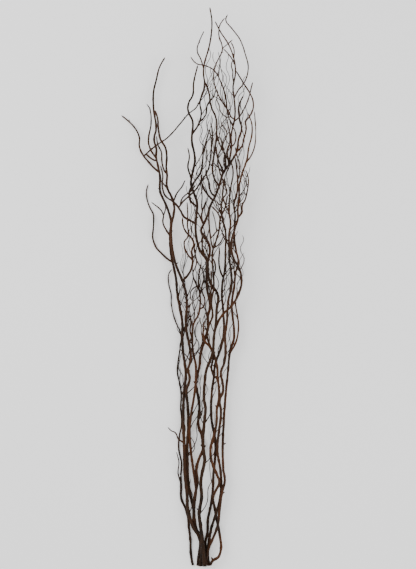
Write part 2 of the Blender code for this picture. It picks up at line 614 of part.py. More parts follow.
def tube(name, limb):
    """Sweep a closed tube along a limb, with one flat side facing the table."""
    rings, sides = limb.rings, limb.sides
    ahead = np.gradient(rings, axis=0)
    ahead /= np.linalg.norm(ahead, axis=1)[:, None]
    across = np.cross(ahead, (0, 0, 1))
    across /= np.linalg.norm(across, axis=1)[:, None]
    upward = np.cross(across, ahead)
    turn = (np.arange(sides) + 0.5) * math.tau / sides - math.pi / 2
    spokes = (np.cos(turn)[None, :, None] * across[:, None] + np.sin(turn)[None, :, None]
              * upward[:, None])
    corners = (rings[:, None] + limb.radii[:, None, None] * spokes).reshape(-1, 3)
    corners[corners[:, 2] < FLAT_DEPTH, 2] = 0.0
    faces = [tuple(range(sides))[::-1], tuple(range(len(corners) - sides, len(corners)))]
    for ring in range(len(rings) - 1):
        for side in range(sides):
            low = ring * sides + side
            low_next = ring * sides + (side + 1) % sides
            faces.append((low, low_next, low_next + sides, low + sides))
    mesh = bpy.data.meshes.new(name)
    mesh.from_pydata(corners.tolist(), [], faces)
    form = bmesh.new()
    form.from_mesh(mesh)
    bmesh.ops.triangulate(form, faces=form.faces)
    bmesh.ops.recalc_face_normals(form, faces=form.faces)
    form.to_mesh(mesh)
    form.free()
    return bpy.data.objects.new(name, mesh)


def fuse(trunk, limbs):
    """Join a stem's limbs to its leader with one union, and remove the loose limbs."""
    bpy.context.scene.collection.objects.link(trunk)
    group = bpy.data.collections.new("limbs")
    bpy.context.scene.collection.children.link(group)
    for limb in limbs:
        group.objects.link(limb)
    union = trunk.modifiers.new("union", "BOOLEAN")
    union.operation = "UNION"
    union.operand_type = "COLLECTION"
    union.collection = group
    union.solver = "EXACT"
    bpy.context.view_layer.update()
    joined = bpy.data.meshes.new_from_object(trunk.evaluated_get(
        bpy.context.evaluated_depsgraph_get()))
    trunk.modifiers.remove(union)
    trunk.data = joined
    for limb in limbs:
        bpy.data.objects.remove(limb)
    bpy.data.collections.remove(group)


def bark(name):
    """Make the bark of one stem."""
    material = bpy.data.materials.new(name + "_bark")
    material.use_nodes = True
    shader = material.node_tree.nodes["Principled BSDF"]
    shader.inputs["Base Color"].default_value = (*BARK_COLOURS[name], 1.0)
    shader.inputs["Roughness"].default_value = BARK_ROUGHNESS
    shader.inputs["Metallic"].default_value = 0.0
    return material


def main():
    """Build every stem of the bunch."""
    for old in list(bpy.data.objects):
        bpy.data.objects.remove(old)
    bunch = grow_bunch()
    for stem, name in enumerate(COURSES):
        tubes = [tube(name if number == 0 else name + "_limb", limb)
                 for number, limb in enumerate(limb for limb in bunch.limbs if limb.stem == stem)]
        fuse(tubes[0], tubes[1:])
        mesh = tubes[0].data
        mesh.name = name
        mesh.materials.clear()
        mesh.materials.append(bark(name))
        mesh.shade_smooth()
        mesh.set_sharp_from_angle(angle=math.radians(SHARP_ANGLE))


if __name__ == "__main__":
    main()
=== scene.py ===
"""Looks of a loose bunch of leafless curly willow stems, lying on a pale table, seen from above.

Each stem's visual piece is swept along the same courses as its solid, with round limbs, fuller
where they are thin, swollen nodes and branch collars, bark relief, buds, broken snags, a cut end,
and small limbs and fine twigs that the solids leave out.
Lengths are in metres and +Y runs from the cut ends to the tips.
"""

import logging
import math
import random
from dataclasses import dataclass, field
from enum import Enum

import bmesh
import bpy
import numpy as np
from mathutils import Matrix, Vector

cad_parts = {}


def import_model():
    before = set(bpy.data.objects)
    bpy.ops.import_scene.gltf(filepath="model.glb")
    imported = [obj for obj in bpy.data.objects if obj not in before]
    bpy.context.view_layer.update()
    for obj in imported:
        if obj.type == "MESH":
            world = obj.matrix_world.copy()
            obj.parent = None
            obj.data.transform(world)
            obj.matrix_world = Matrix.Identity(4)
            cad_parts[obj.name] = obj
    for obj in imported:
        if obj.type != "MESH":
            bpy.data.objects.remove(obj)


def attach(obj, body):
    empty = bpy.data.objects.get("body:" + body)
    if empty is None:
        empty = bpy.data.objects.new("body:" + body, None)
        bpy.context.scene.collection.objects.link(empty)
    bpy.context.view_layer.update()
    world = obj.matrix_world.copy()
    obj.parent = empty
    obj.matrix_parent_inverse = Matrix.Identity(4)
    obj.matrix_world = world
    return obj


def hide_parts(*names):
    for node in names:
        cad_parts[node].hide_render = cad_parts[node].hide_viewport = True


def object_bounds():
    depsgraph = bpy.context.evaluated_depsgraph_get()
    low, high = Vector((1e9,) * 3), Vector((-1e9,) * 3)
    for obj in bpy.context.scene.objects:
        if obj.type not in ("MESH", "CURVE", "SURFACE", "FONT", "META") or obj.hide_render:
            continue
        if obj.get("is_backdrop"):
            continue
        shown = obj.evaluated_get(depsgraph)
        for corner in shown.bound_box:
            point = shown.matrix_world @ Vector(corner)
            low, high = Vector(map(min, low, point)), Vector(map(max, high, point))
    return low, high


Triple = tuple[float, float, float]
Colour = Triple
Range = tuple[float, float]
log = logging.getLogger("willow_stems")

# Driving sizes of the bunch, in metres: its length, the gap kept where limbs cross, and the
# length over which a stem's curl is told from its lean
BUNCH_LENGTH = 1.395
GAP = 0.0001
CORKSCREW_LENGTH = 0.16

# Photo pixels: the rows of the highest tip and of the cut ends, and the column and row of the
# bunch's middle, which is x = y = 0
TIP_ROW = 8.4
FOOT_ROW = 566.6
MIDDLE_COLUMN = 188.31
MIDDLE_ROW = 287.75
PIXEL = BUNCH_LENGTH / (FOOT_ROW - TIP_ROW)
PHOTO_SIZE = (416, 569)

# A stem curls like a corkscrew: how deep it is as a share of its sideways sway, and the shares of
# the corkscrew's length by which the depth comes later, over which it fades in, and that a limb's
# heading is taken over
CORKSCREW_DEPTH = 0.8
CORKSCREW_LAG = 1 / 6
CORKSCREW_FADE = 1 / 4
HEADING_SHARE = 1 / 5

# A limb's radius at its root as a share of its parent's, so that it starts inside it, and the
# powers by which it thins and a leader rises along its length
ROOT_SHARE = 0.8
TAPER_POWER = 0.72
LEADER_RISE_POWER = 1.4

# How far round its root a limb may lie against its parent: a length, and how many of the
# parent's radii are added
FORK_REACH = (0.012, 6.0)
TWIG_REACH = (0.008, 5.0)

# How closely limbs are sampled and drawn while they are laid, the fewest samples that one has,
# and the steps between two contacts that still make them one crossing
SAMPLE_SPACING = 0.004
COURSE_TOLERANCE = 0.0010
FEWEST_SAMPLES = 3
CROSSING_STEPS = 2

# How thickly side twigs grow: shares of the bunch's length, and how dense they are there
TWIG_DENSITY = ((0.05, 0.15, 0.40, 0.50, 0.80, 0.90), (0.0, 0.30, 0.45, 1.0, 1.0, 0.5))
TWIGS_END = 0.93

# The heart of the bunch that side twigs stay in: shares of its length, and x of its two edges
HEART_SHARES = (0.0, 0.26, 0.42, 0.60, 0.78, 0.85, 1.0)
HEART_LEFT = (0.0, -0.022, -0.030, -0.020, 0.014, 0.032, 0.04)
HEART_RIGHT = (0.07, 0.092, 0.122, 0.148, 0.158, 0.150, 0.12)

# The sides of the solids' tubes, by kind of limb
LEADER_SIDES = 5
FORK_SIDES = 4
TWIG_SIDES = 3

# Seeds of the random draws, to which the stem's number is added
TWIG_SEED = 11
FINE_TWIG_SEED = 110
SNAG_SEED = 1100

# Courses give diameters and heights in millimetres
MILLIMETRES = 1000

WHITE = (1.0, 1.0, 1.0)

# How many turns a limb's heights are worked over, how many of them may still change which side
# of another limb it passes, and how many at the end only clear it and smooth nothing
LAY_TURNS = 140
SIDE_TURNS = 40
CLEAR_TURNS = 12

# On each turn, how much of a ring's shift its two neighbours take on, and how much of it stays
SHIFT_SPREAD = 0.5
SHIFT_KEPT = 0.96

# How far short of its gap a limb may stay and still count as laid
LAY_MISS = 0.00005


@dataclass(frozen=True)
class Course:
    """One limb: diameters at root and tip and the tip's height in mm, photo points, foot height."""

    root_diameter: float
    tip_diameter: float
    tip_height: float
    points: list[tuple[float, float]]
    foot_height: float = 4.0


@dataclass(frozen=True)
class TwigRule:
    """How one size of side twig is drawn: diameters, lengths, curl and where it may start.

    Its waves are lengths, its leans degrees, its curls radians and its slopes rise over run.
    """

    diameters: Range
    lengths: Range
    waves: Range
    spacing: float
    leans: Range = (14, 42)
    curls: Range = (0.25, 0.60)
    slopes: Range = (-0.30, 0.40)
    places: Range = (0.10, 0.95)
    tries: int = 12
    curl_start: float = 1 / 3
    lean_fade: float = 1.5
    slope_end: float = 0.5


SIDE_TWIGS = TwigRule((0.0030, 0.0018), (0.06, 0.19), (0.050, 0.090), 0.080)
FINE_TWIGS = TwigRule((0.0019, 0.0012), (0.060, 0.190), (0.050, 0.095), 0.700, leans=(8, 26),
                      curls=(0.22, 0.48), tries=8)


# The courses of the stems, from the bottom layer of the bunch up; each stem's leader comes first
COURSES: dict[str, tuple[Course, ...]] = {
    "stem_slim_left": (
        Course(6.4, 3.9, 1, [
            (192.7, 566.3), (190.5, 552), (190.2, 539), (188.6, 527), (187.5, 516), (184.5, 507),
            (181.3, 500), (181.0, 490), (180.7, 476)], 1.0),
        Course(3.2, 2.1, 10, [
            (180.7, 476), (181.4, 464), (178.6, 450), (179.4, 436), (181.6, 424), (180.6, 410),
            (181.0, 395), (180.2, 387), (177.6, 376), (178.2, 364),
            (180.2, 347), (180.7, 334), (177.5, 327), (173.1, 314), (171.2, 304), (171.0, 295),
            (168.3, 282), (168.8, 273.6), (172.0, 269)]),
        Course(2.4, 1.8, 24, [
            (180.9, 484), (178.0, 474), (178.8, 462), (176.4, 452)]),
    ),
    "stem_left_inner": (
        Course(8.3, 3.0, 70, [
            (198, 566.5), (199, 555), (200.3, 541), (197.1, 533), (194.2, 524), (193.9, 512),
            (190.5, 496.5), (188.9, 488), (187.9, 469), (187.0, 449), (188.3, 428), (187.1, 399),
            (186.4, 391), (189.7, 379), (188.0, 369), (190.3, 362), (189.4, 346), (186.3, 330),
            (185.8, 320), (186.8, 310), (186.1, 294), (182.3, 280.6), (177.0, 268), (172.6, 250),
            (171.2, 228), (174.2, 207), (172.0, 198), (167.0, 187), (167.2, 175), (166.3, 166),
            (166.9, 156), (165.5, 148), (160.7, 140), (158.2, 125), (157.6, 118), (155.3, 111)], 2.5),
        Course(5.1, 2.4, 112, [
            (182.9, 280.6), (188.3, 274.6), (192.0, 267), (192.6, 259), (191.8, 251),
            (194.0, 243.8), (191.4, 238), (186.6, 233), (183.7, 227.5), (182.6, 218)]),
        Course(2.9, 2.0, 128, [
            (192.3, 260), (188.2, 255), (184.6, 247), (184.5, 242), (188.0, 237), (187.6, 226),
            (187.9, 215), (187.3, 203)]),
        Course(3.2, 2.0, 96, [
            (166.4, 174), (163.9, 169.5), (162.0, 161), (161.3, 151.6), (158.3, 146),
            (156.8, 137)]),
    ),
    "stem_middle_fork": (
        Course(8.5, 2.4, 34, [
            (203, 566.5), (202.5, 550), (200.3, 540), (196.4, 530), (193.9, 517), (194.6, 506),
            (196.1, 489), (197.4, 480), (196.2, 472), (198.0, 462), (203.0, 449), (201.6, 436),
            (198.2, 425), (199.4, 410), (197.6, 394), (195.6, 384.5), (198.9, 370), (200.6, 354),
            (205.2, 338.6), (208.2, 326), (207.8, 317), (210.0, 307), (206.8, 287), (207.3, 265),
            (209.7, 247), (206.4, 239), (201.0, 231), (203.7, 224), (207.6, 215), (210.2, 206),
            (215.7, 195), (219.2, 186), (222.7, 174), (228.6, 165), (236.6, 152), (238.4, 140),
            (241.6, 129), (239.4, 118), (238.8, 106), (243.3, 95.6)]),
        Course(6.8, 2.1, 16, [
            (196.1, 489), (194.0, 474), (191.4, 455), (189.6, 438), (191.0, 420), (194.4, 391),
            (195.8, 378), (195.8, 366), (193.0, 352), (192.3, 336), (193.6, 324), (198.6, 314),
            (200.2, 300), (198.3, 280), (201.3, 263)]),
        Course(5.1, 2.2, 62, [
            (236.6, 152), (241.4, 147), (244.0, 138), (246.2, 129), (245.6, 122), (250.0, 116),
            (253.0, 109), (252.8, 101), (248.6, 91.5), (243.3, 83.5), (236.0, 71.5)]),
        Course(5.6, 2.1, 92, [
            (228.6, 165), (230.4, 155), (231.5, 145), (231.0, 136), (232.8, 127), (234.5, 120),
            (234.2, 100), (232.9, 90), (235.4, 72), (233.3, 58), (228.1, 45), (220.8, 34),
            (215.0, 23)]),
        Course(3.7, 2.0, 118, [
            (234.4, 98.7), (238, 91), (243.8, 84), (248, 68), (245.4, 57), (239.1, 40),
            (232.3, 31), (225.6, 22), (227.4, 17)]),
        Course(3.2, 2.0, 48, [
            (235.0, 121.7), (239.6, 115), (244.6, 108), (248.6, 97), (252.7, 82.5)]),
        Course(3.9, 2.0, 30, [
            (232.6, 126), (228.4, 117), (227.0, 109), (225.6, 97), (220.8, 82.5), (213.5, 70),
            (206.6, 66), (195.7, 63), (190.5, 56.5)]),
        Course(3.7, 2.0, 132, [
            (232.6, 119.5), (228.0, 111), (223.8, 105), (215.6, 89), (213.5, 78), (215.2, 68),
            (222.4, 50), (218.8, 37), (219.6, 28), (224.5, 21)]),
        Course(5.9, 2.4, 76, [
            (218.9, 186), (214.6, 179), (212.7, 172), (213.4, 160), (216.3, 138), (215.6, 117),
            (211.0, 106.5), (208.8, 92), (204.2, 80), (204.0, 66), (207.0, 56), (210.2, 42),
            (212.0, 24), (209.8, 8.6)]),
        Course(2.9, 1.8, 104, [
            (203.8, 69), (200.4, 59), (197.2, 52), (199.4, 43), (204, 33)]),
        Course(2.9, 1.8, 12, [
            (192.3, 339), (190.0, 331), (191.3, 322), (188.6, 312), (191.0, 303)]),
    ),
    "stem_front": (
        Course(7.3, 2.1, 58, [
            (207.8, 566.6), (206.5, 553), (205.4, 543), (207.2, 535), (207.4, 524), (210.8, 506),
            (213.0, 489), (213.4, 475), (215.2, 457), (215.2, 440), (212.3, 426), (211.8, 403),
            (212.3, 387), (213.9, 377), (214.8, 366), (217.8, 357), (220.9, 348), (223.5, 336),
            (223.6, 318), (221.9, 288), (225.0, 268), (225.4, 249), (225.6, 232), (223.0, 222),
            (221.6, 207), (223.2, 198), (226.6, 193), (225.0, 186), (224.1, 179)]),
        Course(6.3, 2.4, 86, [
            (213.9, 377), (211.4, 368), (213.2, 357), (210.2, 346), (207.4, 338), (208.8, 326),
            (212.6, 316), (211.2, 304), (213.6, 290), (212.9, 271), (212.9, 250), (216.4, 240),
            (219.5, 228), (220.2, 219), (224.3, 210), (227.4, 196)]),
        Course(3.2, 2.0, 110, [
            (213.3, 248), (217.3, 246), (221.4, 241), (223.8, 234)]),
    ),
    "stem_left_outer": (
        Course(9.0, 2.2, 22, [
            (200.3, 566.6), (202, 552), (199.6, 538), (194.6, 530), (190.5, 520), (187.6, 508),
            (187.0, 496), (185.4, 480), (184.4, 464), (184.2, 440), (183.2, 412), (183.8, 395),
            (185.7, 373), (183.7, 358), (182.2, 340), (182.4, 324), (179.9, 309), (177.0, 292),
            (175.6, 276), (171.4, 257), (169.8, 238), (170.6, 219), (165.3, 203.6), (160.0, 191),
            (160.0, 178), (157.6, 164), (155.9, 156), (156.2, 148), (154.0, 139), (156.0, 129),
            (154.2, 116), (153.2, 104), (153.4, 92), (156.8, 77), (159.4, 67), (165.0, 57)], 14),
        Course(5.4, 2.1, 0.5, [
            (158.8, 172), (152.7, 166.5), (147.0, 160), (142.4, 154), (139.2, 146), (139.4, 138),
            (136.3, 130), (131.7, 124), (126.2, 119), (121.1, 114.8)]),
        Course(4.4, 2.0, 88, [
            (144.0, 155.5), (150.6, 149.5), (156.6, 145), (165.9, 139), (173.6, 131),
            (183.3, 120.5), (190.0, 113), (197.3, 107), (200.2, 100), (202.6, 93), (205.6, 87)]),
        Course(3.4, 1.8, 40, [
            (155.9, 158), (150.4, 149), (148.4, 142), (149.2, 134), (150.7, 127), (150.8, 116),
            (150.0, 109), (146.6, 104)]),
        Course(3.7, 1.8, 0.5, [
            (171.8, 262), (165.4, 256), (156.8, 248.6), (152.6, 237), (153.4, 225),
            (153.0, 214), (148.6, 205), (146.2, 191), (147.9, 184)]),
        Course(3.2, 1.8, 44, [
            (169.9, 236), (162.8, 222), (163.2, 214), (157.6, 208), (151.3, 202)]),
        Course(2.9, 1.8, 44, [
            (184.2, 443), (177.4, 438), (175.6, 433), (170.8, 430.4), (167.7, 427)]),
    ),
    "stem_middle_thick": (
        Course(9.4, 2.2, 100, [
            (204.4, 566.6), (203.5, 552), (202.4, 540), (200.3, 524), (199.2, 513), (201.6, 498),
            (200.8, 482), (202.6, 471), (204.4, 463), (203.0, 447), (204.2, 423), (205.6, 408),
            (204.0, 398), (204.6, 385), (206.9, 368), (210.6, 359), (213.0, 351), (213.6, 340),
            (216.0, 322), (217.2, 305), (218.4, 299), (216.2, 291), (210.8, 284), (208.0, 274),
            (206.8, 260), (201.4, 253.2), (197.8, 244), (195.6, 228), (196.5, 214), (197.2, 204),
            (194.2, 194), (191.0, 184), (193.0, 172), (195.0, 160), (191.9, 142), (192.4, 121),
            (188.0, 111), (188.8, 104), (192.3, 98), (193.3, 87), (197.8, 66.8)], 22),
        Course(6.6, 2.2, 70, [
            (195.7, 224), (190.6, 221), (184.4, 217.4), (179.4, 209), (173.6, 202), (165.4, 196),
            (162.4, 186), (163.0, 176), (160.6, 166)]),
        Course(3.4, 2.0, 116, [
            (173.6, 202), (177.2, 193.5), (182.0, 187.6), (185.4, 181)]),
        Course(4.6, 2.1, 126, [
            (178.6, 208), (183, 202), (188.6, 197), (194.6, 191.6), (201.4, 181.6), (206.6, 174),
            (209.4, 160), (211.4, 149), (212.4, 133), (210.6, 124)]),
        Course(4.4, 2.1, 84, [
            (196.9, 207), (191.0, 201.6), (189.3, 193), (193.4, 184), (200.4, 173.4),
            (202.7, 162), (203.4, 153), (206.0, 143), (209.6, 130)]),
        Course(3.4, 1.8, 122, [
            (191.4, 179), (188.0, 167), (189.5, 157), (188.0, 149)]),
        Course(3.7, 2.0, 138, [
            (192.1, 135), (197.8, 127), (201.2, 117), (200.2, 103), (204.2, 92), (204.2, 82)]),
        Course(2.9, 1.8, 66, [
            (199.4, 124), (206.2, 115), (207.6, 105), (214.0, 97), (216.0, 90)]),
    ),
    "stem_right_inner": (
        Course(7.3, 2.1, 112, [
            (209, 566.6), (207.8, 553), (208.8, 543), (210.4, 533), (213.5, 523), (217.6, 507),
            (220.4, 497), (221.3, 486), (220.2, 468), (217.4, 452), (218.4, 436), (220.6, 418),
            (220.8, 409), (219.6, 401), (223.2, 390), (222.0, 380), (220.8, 372), (224.6, 362),
            (225.4, 351), (225.0, 338), (227.0, 320), (227.6, 305), (230.9, 287), (231.4, 275),
            (229.2, 261), (229.2, 246), (228.9, 234), (230.4, 225), (229.0, 212), (230.4, 190),
            (232.8, 171), (230.6, 162)], 13),
        Course(3.7, 2.0, 132, [
            (229.1, 214), (225.6, 206), (222.4, 196), (223.4, 184), (219.4, 172), (217.8, 158),
            (221.6, 148), (219.8, 138)]),
    ),
    "stem_right_outer": (
        Course(7.0, 2.1, 10, [
            (205.3, 566.6), (206.6, 558), (208.8, 548), (212.2, 540), (216.8, 529), (219.2, 514),
            (220.6, 501), (222.4, 491), (224.8, 481), (223.2, 468), (223.2, 446), (224.2, 416),
            (225.4, 398), (228.0, 372), (230.4, 350), (233.9, 339), (234.0, 328), (232.8, 318),
            (231.8, 304), (234.2, 288), (235.4, 274), (238.4, 262), (236.2, 251), (234.5, 238),
            (234.4, 226), (235.2, 214), (234.0, 206), (237.2, 192), (237.4, 176), (235.3, 157)], 31),
        Course(3.7, 1.8, 30, [
            (230.0, 353), (235.6, 343), (238.5, 327), (237.0, 313), (235.4, 302), (238.0, 291)]),
    ),
    "stem_bowed": (
        Course(7.1, 2.1, 88, [
            (210.4, 565.3), (213.2, 560.6), (218.2, 557.4), (220.9, 550), (220.4, 540),
            (218.0, 527), (214.6, 508), (213.0, 497), (215.6, 491), (219.4, 482.6), (217.0, 475),
            (212.0, 463), (210.3, 452), (213.2, 438), (216.3, 425), (216.8, 410), (219.3, 396),
            (217.8, 380), (217.0, 366), (213.6, 353), (213.8, 340), (217.0, 324), (224.0, 313),
            (231.7, 305.6), (237.0, 297), (240.4, 288.6), (241.2, 276), (238.4, 267),
            (232.6, 256), (231.2, 245), (234.4, 230), (237.8, 219), (237.6, 211), (239.0, 199),
            (239.0, 187), (242.0, 174), (246.0, 163), (249.0, 146), (251.4, 137), (251.4, 124),
            (247.6, 114)], 21),
        Course(5.1, 2.4, 96, [
            (213.9, 354), (210.2, 347), (204.6, 340.4), (203.2, 330), (204.8, 320)]),
        Course(3.9, 2.1, 26, [
            (213.2, 560.6), (211.2, 557.4)]),
        Course(3.2, 1.8, 44, [
            (237.9, 218), (241.8, 213), (242.0, 206), (245.4, 199), (247.2, 188), (248.2, 178),
            (245.4, 170)]),
        Course(3.4, 1.8, 116, [
            (245.6, 164), (250.6, 157), (253.6, 150), (255.4, 139), (254.6, 125), (254.0, 113)]),
    ),
}


# Small limbs that are finer than the solids, rooted on the limbs above
SMALL_COURSES: dict[str, tuple[Course, ...]] = {
    "stem_left_inner": (
        Course(2.8, 2.2, 58, [(167.4, 188.5), (164.8, 185.2), (162.2, 182.4), (160.4, 180.4)]),
    ),
    "stem_middle_fork": (
        Course(3.2, 2.2, 40, [
            (203.2, 225), (202.0, 220), (201.6, 215.5), (203.4, 210.5), (204.7, 206.5),
            (205.8, 201.2)]),
        Course(2.5, 1.8, 50, [(202.3, 213), (201.7, 207), (202.1, 198), (201.6, 189.5),
                              (202.2, 182)]),
        Course(3.2, 2.0, 40, [
            (199.2, 291), (197.6, 286.5), (195.2, 281.5), (193.2, 276.5), (193.0, 272),
            (195.2, 267.5), (196.6, 262.5), (195.8, 256), (194.2, 249.5), (195.4, 243)]),
        Course(2.8, 2.0, 30, [
            (198.9, 286), (196.2, 286.4), (193.4, 288.6), (190.8, 291.4), (190.3, 296.5),
            (191.6, 301)]),
        Course(3.0, 2.0, 40, [
            (199.6, 309), (202.6, 307.6), (204.6, 303.4), (204.6, 298.2), (202.6, 293.2),
            (201.8, 287.6), (203.6, 282.6), (204.6, 277)]),
        Course(3.4, 2.2, 44, [
            (213.0, 200.4), (209.8, 196.8), (206.2, 192.6), (203.4, 188), (201.6, 181.8),
            (201.8, 174.6)]),
        Course(3.2, 2.2, 40, [
            (214.8, 196.8), (211.4, 192.8), (209.7, 188.4), (209.2, 183), (206.8, 176.4),
            (206.4, 170)]),
        Course(2.4, 1.8, 42, [(222.6, 172.8), (219.6, 168.6), (216.0, 165.6), (213.6, 163.2)]),
        Course(3.2, 2.4, 50, [
            (223.7, 172.4), (221.8, 167), (218.6, 160), (216.6, 153.4), (216.2, 147)]),
        Course(2.8, 2.2, 44, [(224.8, 170.6), (225.0, 165.6), (224.9, 160), (224.0, 155)]),
        Course(3.4, 2.4, 55, [
            (228.9, 162), (226.6, 157), (223.6, 152.4), (220.4, 146), (218.0, 139.6),
            (216.8, 133.6)]),
        Course(2.6, 1.9, 62, [
            (223.0, 151), (222.8, 146), (223.6, 142.4), (226.6, 136.4), (226.2, 131),
            (222.4, 126), (220.6, 121)]),
        Course(3.4, 2.2, 62, [
            (229.3, 161), (227.4, 154.6), (228.2, 147.6), (229.8, 141.4), (229.4, 133),
            (228.0, 125.4), (226.6, 119.4)]),
        Course(2.8, 1.8, 80, [
            (231.2, 117), (227.0, 117.6), (223.0, 115.0), (219.8, 111.2), (219.2, 106.2),
            (216.8, 100.6), (217.6, 95)]),
        Course(2.6, 1.8, 112, [(222.8, 50.4), (225.4, 47.6), (228.6, 45.2), (232.4, 41.8)]),
        Course(2.6, 1.9, 90, [(234.6, 65.5), (232.0, 60.2), (227.6, 54.8), (223.4, 50.2)]),
        Course(2.4, 1.8, 86, [(233.8, 59.5), (234.2, 54), (233.0, 47.8), (230.8, 43.4)]),
        Course(2.8, 2.0, 80, [
            (234.0, 84), (232.6, 77), (232.6, 71.5), (231.2, 66.4), (232.2, 61.8)]),
        Course(3.2, 2.2, 30, [(203.6, 224.4), (201.4, 219.4), (198.9, 214.4), (197.0, 210.4)]),
        Course(3.4, 2.4, 52, [
            (232.0, 147), (234.6, 143.4), (235.8, 138.2), (235.4, 132.8), (233.6, 128)]),
    ),
    "stem_front": (
        Course(3.8, 3.0, 80, [
            (220.1, 221), (219.3, 216.5), (217.2, 212.5), (214.2, 209.3), (211.6, 206.6)]),
        Course(3.0, 2.4, 60, [
            (222.2, 208), (220.6, 205.2), (218.6, 204.4), (217.4, 202), (216.4, 200.6)]),
        Course(3.4, 2.4, 80, [
            (212.9, 249), (211.4, 243), (210.4, 237), (210.0, 230), (209.2, 222), (209.0, 214.5),
            (209.6, 209)]),
        Course(3.0, 2.4, 80, [(210.6, 238.6), (213.2, 235.8), (216.0, 232.4), (218.2, 229.6)]),
        Course(2.2, 1.6, 80, [(216.4, 231.6), (215.9, 226), (214.2, 218), (212.3, 211.5)]),
        Course(3.2, 2.2, 52, [
            (223.4, 278), (221.4, 274), (219.6, 268), (218.8, 260), (219.4, 252), (219.1, 247)]),
        Course(3.0, 2.4, 68, [
            (213.2, 277), (214.9, 272.2), (215.5, 267.4), (214.6, 262.2), (213.4, 258.6)]),
        Course(3.8, 2.6, 70, [
            (211.6, 303.6), (210.6, 297.2), (211.2, 290), (210.9, 283.2), (211.4, 276.6),
            (211.2, 270.6)]),
    ),
    "stem_middle_thick": (
        Course(3.2, 2.2, 92, [
            (180.6, 205.4), (181.4, 200.4), (184.2, 196.6), (188.4, 193.6), (192.6, 190.4),
            (195.6, 185.4)]),
        Course(3.4, 2.4, 70, [
            (204.2, 257), (202.6, 250.6), (202.4, 245.2), (202.9, 240.2), (202.6, 236.4)]),
    ),
    "stem_left_outer": (
        Course(2.9, 2.2, 38, [(163.1, 216), (164.6, 211.5), (165.6, 207.5), (165.2, 203.5)]),
        Course(3.6, 3.0, 24, [
            (155.6, 160.6), (152.5, 159.2), (149.5, 156.8), (147.2, 154.4), (145.4, 153.2)]),
    ),
    "stem_right_outer": (
        Course(3.2, 2.2, 32, [
            (237.5, 181), (239.4, 173.4), (240.2, 166), (238.4, 159), (236.2, 153), (235.4, 147)]),
    ),
}


class Tone(Enum):
    """The bark tones in the bunch, from the darkest stems to the most orange ones."""

    BLACKISH = "blackish"
    BROWN = "brown"
    RED = "red"
    ORANGE = "orange"


STEM_TONES = {
    "stem_slim_left": Tone.BLACKISH,
    "stem_left_inner": Tone.BROWN,
    "stem_middle_fork": Tone.RED,
    "stem_front": Tone.BROWN,
    "stem_left_outer": Tone.BROWN,
    "stem_middle_thick": Tone.BLACKISH,
    "stem_right_inner": Tone.BROWN,
    "stem_right_outer": Tone.RED,
    "stem_bowed": Tone.ORANGE,
}


@dataclass
class Limb:
    """A limb laid in place: ring centres and radii along it, its sides, stem and parent's radius."""

    rings: np.ndarray
    radii: np.ndarray
    sides: int
    stem: int
    parent_radius: float = 0.0


def distance_along(path: np.ndarray) -> np.ndarray:
    """Give each point's distance from the path's start.

    Args:
        path: The points of a line, one to a row.

    Returns:
        One distance for each point.
    """
    return np.append(0.0, np.cumsum(np.linalg.norm(np.diff(path, axis=0), axis=1)))


def curve_through(points: np.ndarray, spacing: float) -> np.ndarray:
    """Sample a smooth curve through the given points.

    Args:
        points: The points that the curve passes through, one to a row.
        spacing: The distance between samples along the chords.

    Returns:
        The samples, one to a row.
    """
    points = np.array(points, dtype=float)
    chord = distance_along(points)
    slope = np.gradient(points, chord, axis=0)
    place = np.linspace(0.0, chord[-1], max(FEWEST_SAMPLES, int(chord[-1] / spacing)))
    left = np.clip(np.searchsorted(chord, place, side="right") - 1, 0, len(chord) - 2)
    span = (chord[left + 1] - chord[left])[:, None]
    t = (place - chord[left])[:, None] / span
    start = (1 + 2 * t) * (1 - t) ** 2 * points[left] + t * (1 - t) ** 2 * span * slope[left]
    end = t * t * (3 - 2 * t) * points[left + 1] - t * t * (1 - t) * span * slope[left + 1]
    return start + end


def needed_points(path: np.ndarray, tolerance: float) -> list[int]:
    """List the points that keep a path's shape.

    Args:
        path: The points of the path.
        tolerance: How far a dropped point may lie from the line that is left.

    Returns:
        The indices of the kept points, in order.
    """
    kept = {0, len(path) - 1}
    spans = [(0, len(path) - 1)]
    while spans:
        first, last = spans.pop()
        chord = path[last] - path[first]
        t = np.clip((path[first:last + 1] - path[first]) @ chord / (chord @ chord), 0, 1)
        off = np.linalg.norm(path[first:last + 1] - path[first] - t[:, None] * chord, axis=1)
        worst = first + int(off.argmax())
        if off.max() > tolerance and first < worst < last:
            kept.add(worst)
            spans += [(first, worst), (worst, last)]
    return sorted(kept)


def nearest_on(limb: Limb, point: np.ndarray) -> tuple[np.ndarray, float]:
    """Find the spot on a limb's middle line under a point.

    Args:
        limb: The limb to search.
        point: A point seen from above, x and y.

    Returns:
        The spot and the limb's radius there.
    """
    start, end = limb.rings[:-1], limb.rings[1:]
    chord = end[:, :2] - start[:, :2]
    t = np.clip(((point - start[:, :2]) * chord).sum(1) / (chord ** 2).sum(1), 0, 1)
    spots = start + t[:, None] * (end - start)
    index = int(np.linalg.norm(spots[:, :2] - point, axis=1).argmin())
    radius = limb.radii[index] * (1 - t[index]) + limb.radii[index + 1] * t[index]
    return spots[index], radius


